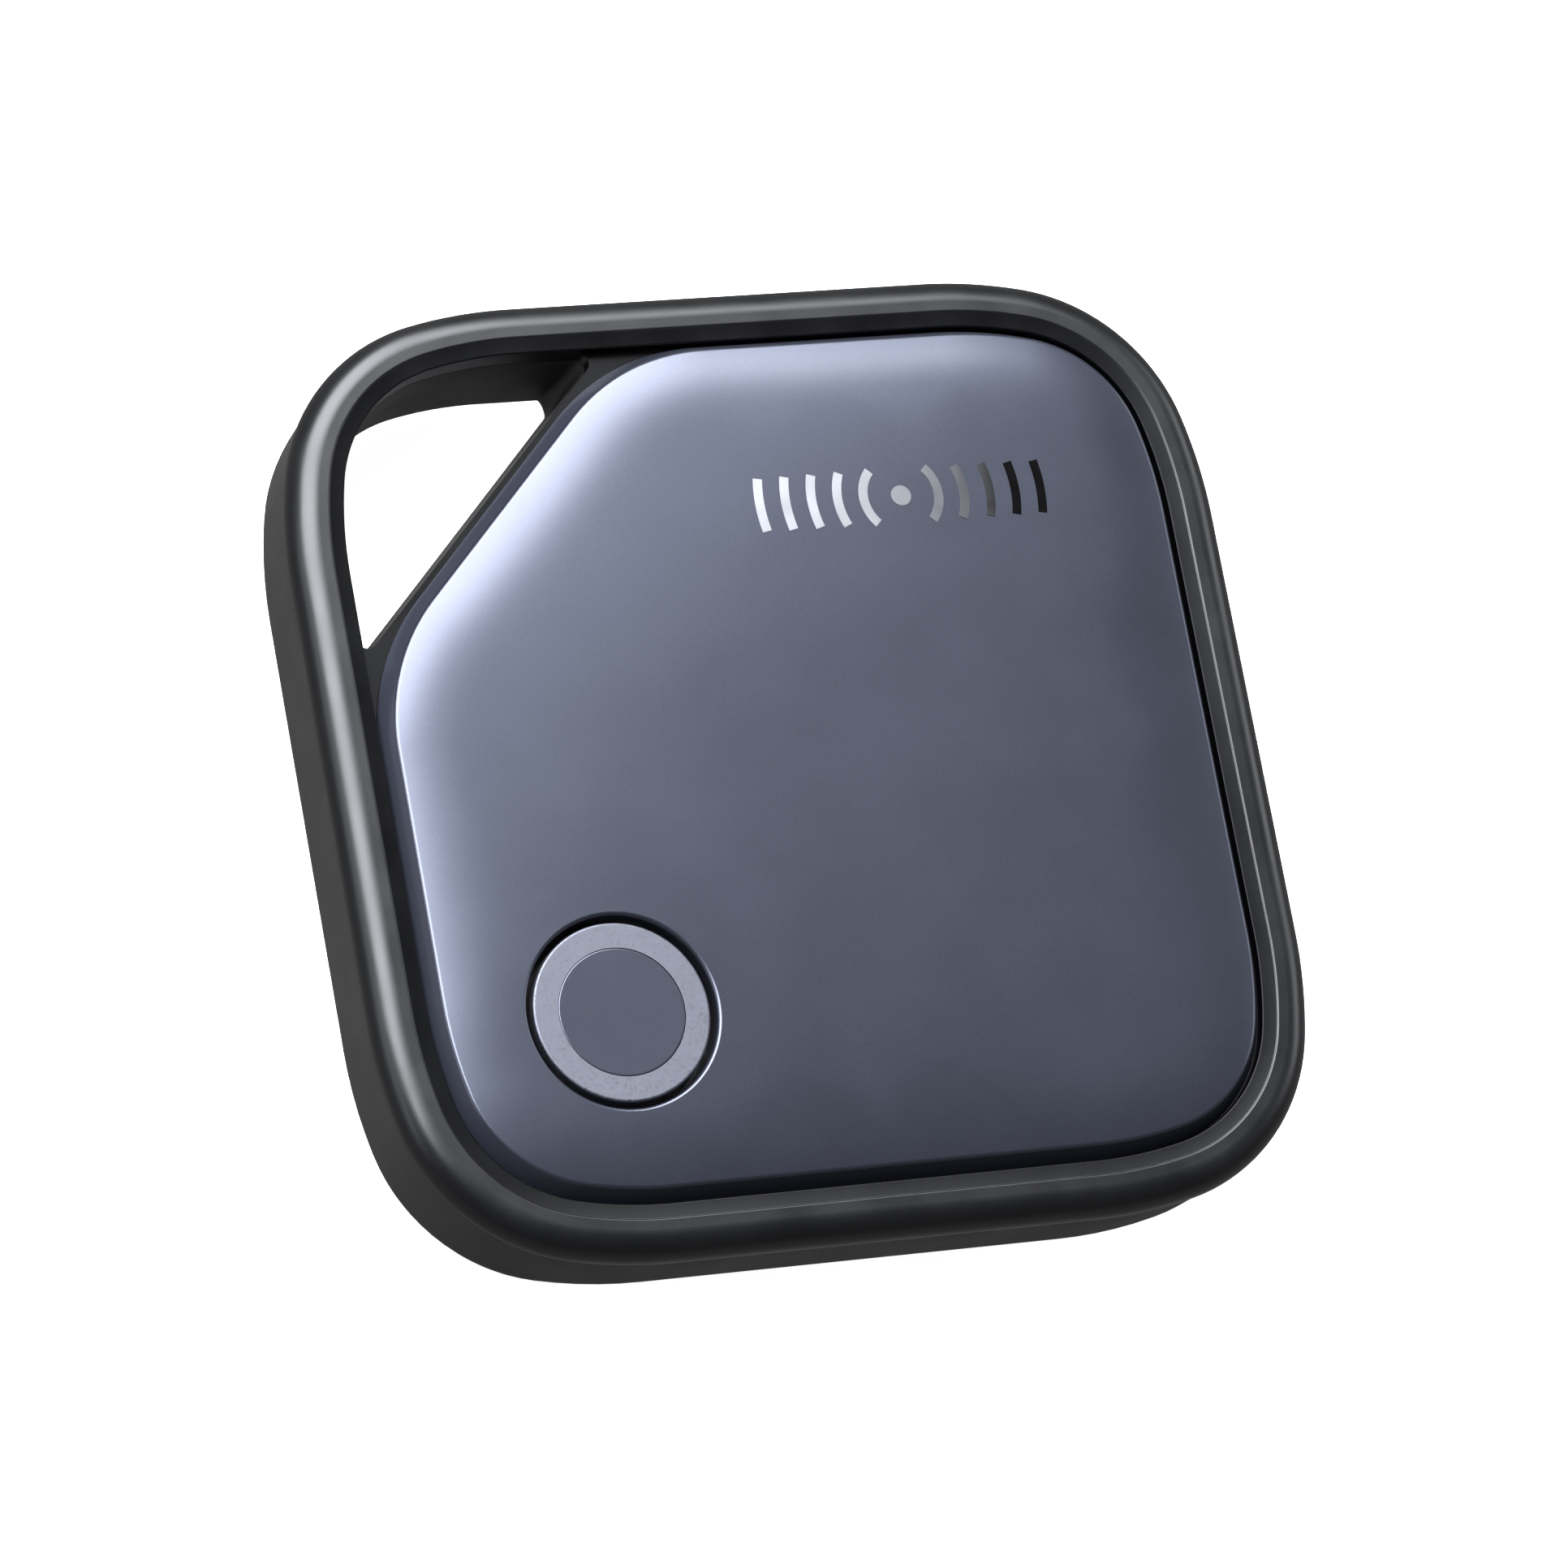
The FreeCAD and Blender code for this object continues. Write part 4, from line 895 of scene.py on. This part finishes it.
def panel_side():
    """The panel's side as depths and heights from its top edge: the steep bevel, then the rounded edge."""
    bevel_shares = (1.0, 0.97, 0.7, 0.45)
    steps = 10
    steep = QUARTER - PANEL_BEVEL
    reach = PANEL_ROUND * math.tan((steep - PANEL_EDGE_TILT) / 2)
    start = Vector((-math.sin(PANEL_BEVEL), -math.cos(PANEL_BEVEL))) * reach
    centre = start - Vector((-math.sin(steep), math.cos(steep))) * PANEL_ROUND
    side = [(-PANEL_DRAW * share, -PANEL_RISE * share) for share in bevel_shares]
    for step in range(steps + 1):
        tilt = steep + (PANEL_EDGE_TILT - steep) * step / steps
        side.append(tuple(centre + Vector((-math.sin(tilt), math.cos(tilt))) * PANEL_ROUND))
    return side


def panel_outline(depth):
    """The panel's outline at a depth inside its top edge."""
    return cut_outline(PANEL_INSET + depth, PANEL_SLANT - depth, PANEL_BLEND_TOP - depth)


def front_panel():
    """The domed plate: bevelled side, rounded edge, pillowed top and the button's hole."""
    shell = Shell("domed_panel")
    bevel_rings = 5
    side = panel_side()
    rings = [shell.loop(panel_outline(depth), PANEL_EDGE + rise) for depth, rise in side[:-1]]
    edge_outline = panel_outline(side[-1][0])
    edge = shell.loop(edge_outline, panel_height)
    shell.bridge(*rings, edge)
    # Painted light: the bevel is marked so that its paint shows lighter.
    shell.painted_light_and_shade(*rings[:bevel_rings])

    hole_loops = [shell.loop(hole_circle(HOLE_EDGE[0][0]), PANEL_LOW.z)]
    for extra, drop in HOLE_EDGE:
        hole_loops.append(shell.loop(hole_circle(extra), lambda x, y: panel_height(x, y) - drop))
    shell.bridge(*hole_loops)
    shell.fill(rings[0], hole_loops[0])

    inner = panel_top_points()
    rim = hole_circle(HOLE_EDGE[-1][0])
    top = edge + hole_loops[-1] + shell.loop(inner, panel_height)
    top_vertices = pave(shell, top, edge_outline, rim, inner)
    shell.mesh.verts.index_update()
    top_indices = {vertex.index for vertex in top_vertices}
    made = shell.finish("front", "panel_paint", "front_panel", sharp=30.0)
    set_top_normals(made.data, top_indices)


def pave(shell, vertices, border, hole, inner):
    """Triangles over a border with one hole and inner points. Gives back the vertices used."""
    flat = border + hole + inner
    first = len(border)
    second = first + len(hole)
    edges = [(index, (index + 1) % first) for index in range(first)]
    edges += [(first + index, first + (index + 1) % len(hole)) for index in range(len(hole))]
    used = set()
    for triangle in geometry.delaunay_2d_cdt(flat, edges, [], 1, TINY)[2]:
        in_hole = all(first <= index < second for index in triangle)
        sliver = geometry.area_tri(*(flat[index] for index in triangle)) < TINY
        if not in_hole and not sliver:
            corners = [vertices[index] for index in triangle]
            shell.mesh.faces.new(corners)
            used.update(corners)
    return used


def set_top_normals(data, top_indices):
    """Exact pillow normals on the top's corners, so that gloss runs evenly over it."""
    normals = [Vector((0.0, 0.0, 0.0))] * len(data.loops)
    for polygon in data.polygons:
        if all(data.loops[index].vertex_index in top_indices for index in polygon.loop_indices):
            for index in polygon.loop_indices:
                place = data.vertices[data.loops[index].vertex_index].co / MM
                normals[index] = panel_normal(place.x, place.y)
    data.normals_split_custom_set(normals)


# ---------------------------------------------------------------- button


def button():
    """The ring with its thin rounded edge, and the cap with a soft edge inside it."""
    gap = 0.01
    edge = 0.10
    soft = 0.05
    support = 0.02
    cap_radius = CAP_HIGH.x - BUTTON.x
    cap_top = CAP_HIGH.z - gap
    inner = cap_radius + gap
    outer = RING_HIGH.x - BUTTON.x
    top = RING_HIGH.z
    ring = Shell("button_trim_ring")
    profile = [(inner, RING_LOW.z), (outer, RING_LOW.z), (outer, top - edge - support)]
    profile += rounded((outer - edge, top - edge), edge, 0, 90, 6)
    profile += [(outer - edge - support, top), (inner + support, top), (inner, top)]
    ring.lathe(BUTTON, profile)
    ring.finish("button", "button_ring_metal", "button_ring")

    cap = Shell("button_cap_dish")
    profile = [(0.0, CAP_LOW.z), (cap_radius, CAP_LOW.z), (cap_radius, cap_top - soft - support)]
    profile += rounded((cap_radius - soft, cap_top - soft), soft, 0, 90, 4)
    profile += [(cap_radius - soft - support, cap_top), (cap_radius * 0.5, cap_top), (0.0, cap_top)]
    cap.lathe(BUTTON, profile)
    cap.finish("button", "button_paint", "button_cap")


# ---------------------------------------------------------------- soft parts

# Radii and heights of the button's seal and of the switch's dome, both turned about the button.
BUTTON_SEAL_FOOT = 6.56
BUTTON_SEAL = [(1.45, 6.75), (2.9, 6.75), (3.25, BUTTON_SEAL_FOOT), (3.75, BUTTON_SEAL_FOOT),
               (3.75, 6.71), (3.45, 6.71), (3.1, 6.90), (1.45, 6.90)]
DOME_FOOT = 3.99
SNAP_DOME = [(0.0, 4.18), (0.805, 4.09), (1.15, DOME_FOOT), (1.15, 4.06), (0.805, 4.18), (0.0, 4.26)]

SEAL_INSET = 0.8
SEAL_WIDTH = 0.4
SEAL_SLANT = HOLE_SLANT - (SLANT_WALL - SEAL_WIDTH) * 0.5
SEAL_BLEND_GAIN = 0.57
SEAL_BLEND = SLANT_BLEND + SEAL_BLEND_GAIN
SEAL_BLEND_RATE = 0.85


def pressed_part(name, profile, slot, node):
    """A turned part about the button, which rides on the front body and stands for a CAD node."""
    shell = Shell(name)
    shell.lathe(BUTTON, profile)
    made = shell.finish("front", slot, node)
    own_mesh(made)


def cover_seal():
    """The rubber bead in the rear cover's wall: square in its groove, round on top."""
    shell = Shell("cover_seal_bead")
    edge = 0.14
    profile = [(0.0, SEAL_LOW.z), (0.0, SEAL_HIGH.z - edge)]
    profile += rounded((edge, SEAL_HIGH.z - edge), edge, 180, 90, 4)[1:]
    profile += rounded((SEAL_WIDTH - edge, SEAL_HIGH.z - edge), edge, 90, 0, 4)
    profile.append((SEAL_WIDTH, SEAL_LOW.z))
    loops = []
    for depth, height in profile:
        blend = SEAL_BLEND - SEAL_BLEND_RATE * depth
        outline = cut_outline(SEAL_INSET + depth, SEAL_SLANT - depth, blend)
        loops.append(shell.loop(outline, height))
    shell.bridge(*loops, loops[0])
    shell.finish("rear", "silicone_seal", "cover_seal")


def pressure_pad():
    """A die-cut foam disc under the cell: its sides pull in, and its top is a little crowned."""
    centre = (PAD_LOW + PAD_HIGH) / 2
    radius = PAD_HIGH.x - centre.x
    thick = PAD_HIGH.z - PAD_LOW.z
    crown = 0.12 * thick
    waist = 0.15 * thick
    steps = 8
    profile = [(0.0, PAD_LOW.z)]
    for step in range(steps + 1):
        share = step / steps
        pulled_in = waist * math.sin(math.pi * share)
        profile.append((radius - pulled_in, PAD_LOW.z + (thick - crown) * share))
    for step in range(1, steps + 1):
        share = step / steps
        profile.append((radius * (1.0 - share), PAD_HIGH.z - crown * (1.0 - share) ** 3))
    shell = Shell("foam_disc")
    shell.lathe(centre, profile)
    made = shell.finish("rear", "foam_pad", "cell_pressure_pad")


# ---------------------------------------------------------------- printed mark


def mark():
    """A generic broadcast sign in mirror foil: a dot with arcs either side."""
    shell = Shell("foil_mark")
    centre = Vector((5.6, 10.1))
    dot = 0.42
    radii = (1.6, 2.7, 3.8, 4.9, 6.0)
    half_height = 1.1
    half_stroke = 0.19
    sink = 0.03
    rise = 0.02
    fade_start = -0.8
    fade_end = 12.0

    def stamp(outline):
        low = shell.loop(outline, lambda x, y: panel_height(x, y) - sink)
        high = shell.loop(outline, lambda x, y: panel_height(x, y) + rise)
        shell.bridge(low, high)
        shell.fill(low)
        shell.fill(high)

    stamp(circle(centre, dot, 32))
    for radius in radii:
        reach = math.asin(half_height / radius)
        for start in (0.0, math.pi):
            outer = arc(centre, radius + half_stroke, start - reach, start + reach, 14)
            inner = arc(centre, radius - half_stroke, start + reach, start - reach, 14)
            stamp(outer + inner)
    made = shell.finish("front", "button_ring_metal")
    made.data.materials[0] = foil("mirror_foil", fade_start, fade_end).material


# ---------------------------------------------------------------- floor


def floor():
    """A wide pale floor just under the tag. It is part of the studio and not of the tag."""
    clearance = 0.05 * MM
    grid = bmesh.new()
    bmesh.ops.create_grid(grid, x_segments=12, y_segments=12, size=3.0)
    data = bpy.data.meshes.new("floor")
    grid.to_mesh(data)
    grid.free()
    data.materials.append(studio_floor("floor").material)
    made = bpy.data.objects.new("floor", data)
    made.location.z = -clearance
    bpy.context.scene.collection.objects.link(made)


add_camera()
add_studio()
dress_cad_nodes()
front_frame()
front_panel()
button()
pressed_part("button_seal", BUTTON_SEAL,
             "silicone_button", "button_membrane")
pressed_part("snap_dome", SNAP_DOME, "spring_steel", "switch_dome")
cover_seal()
pressure_pad()
mark()
floor()

bpy.context.view_layer.update()
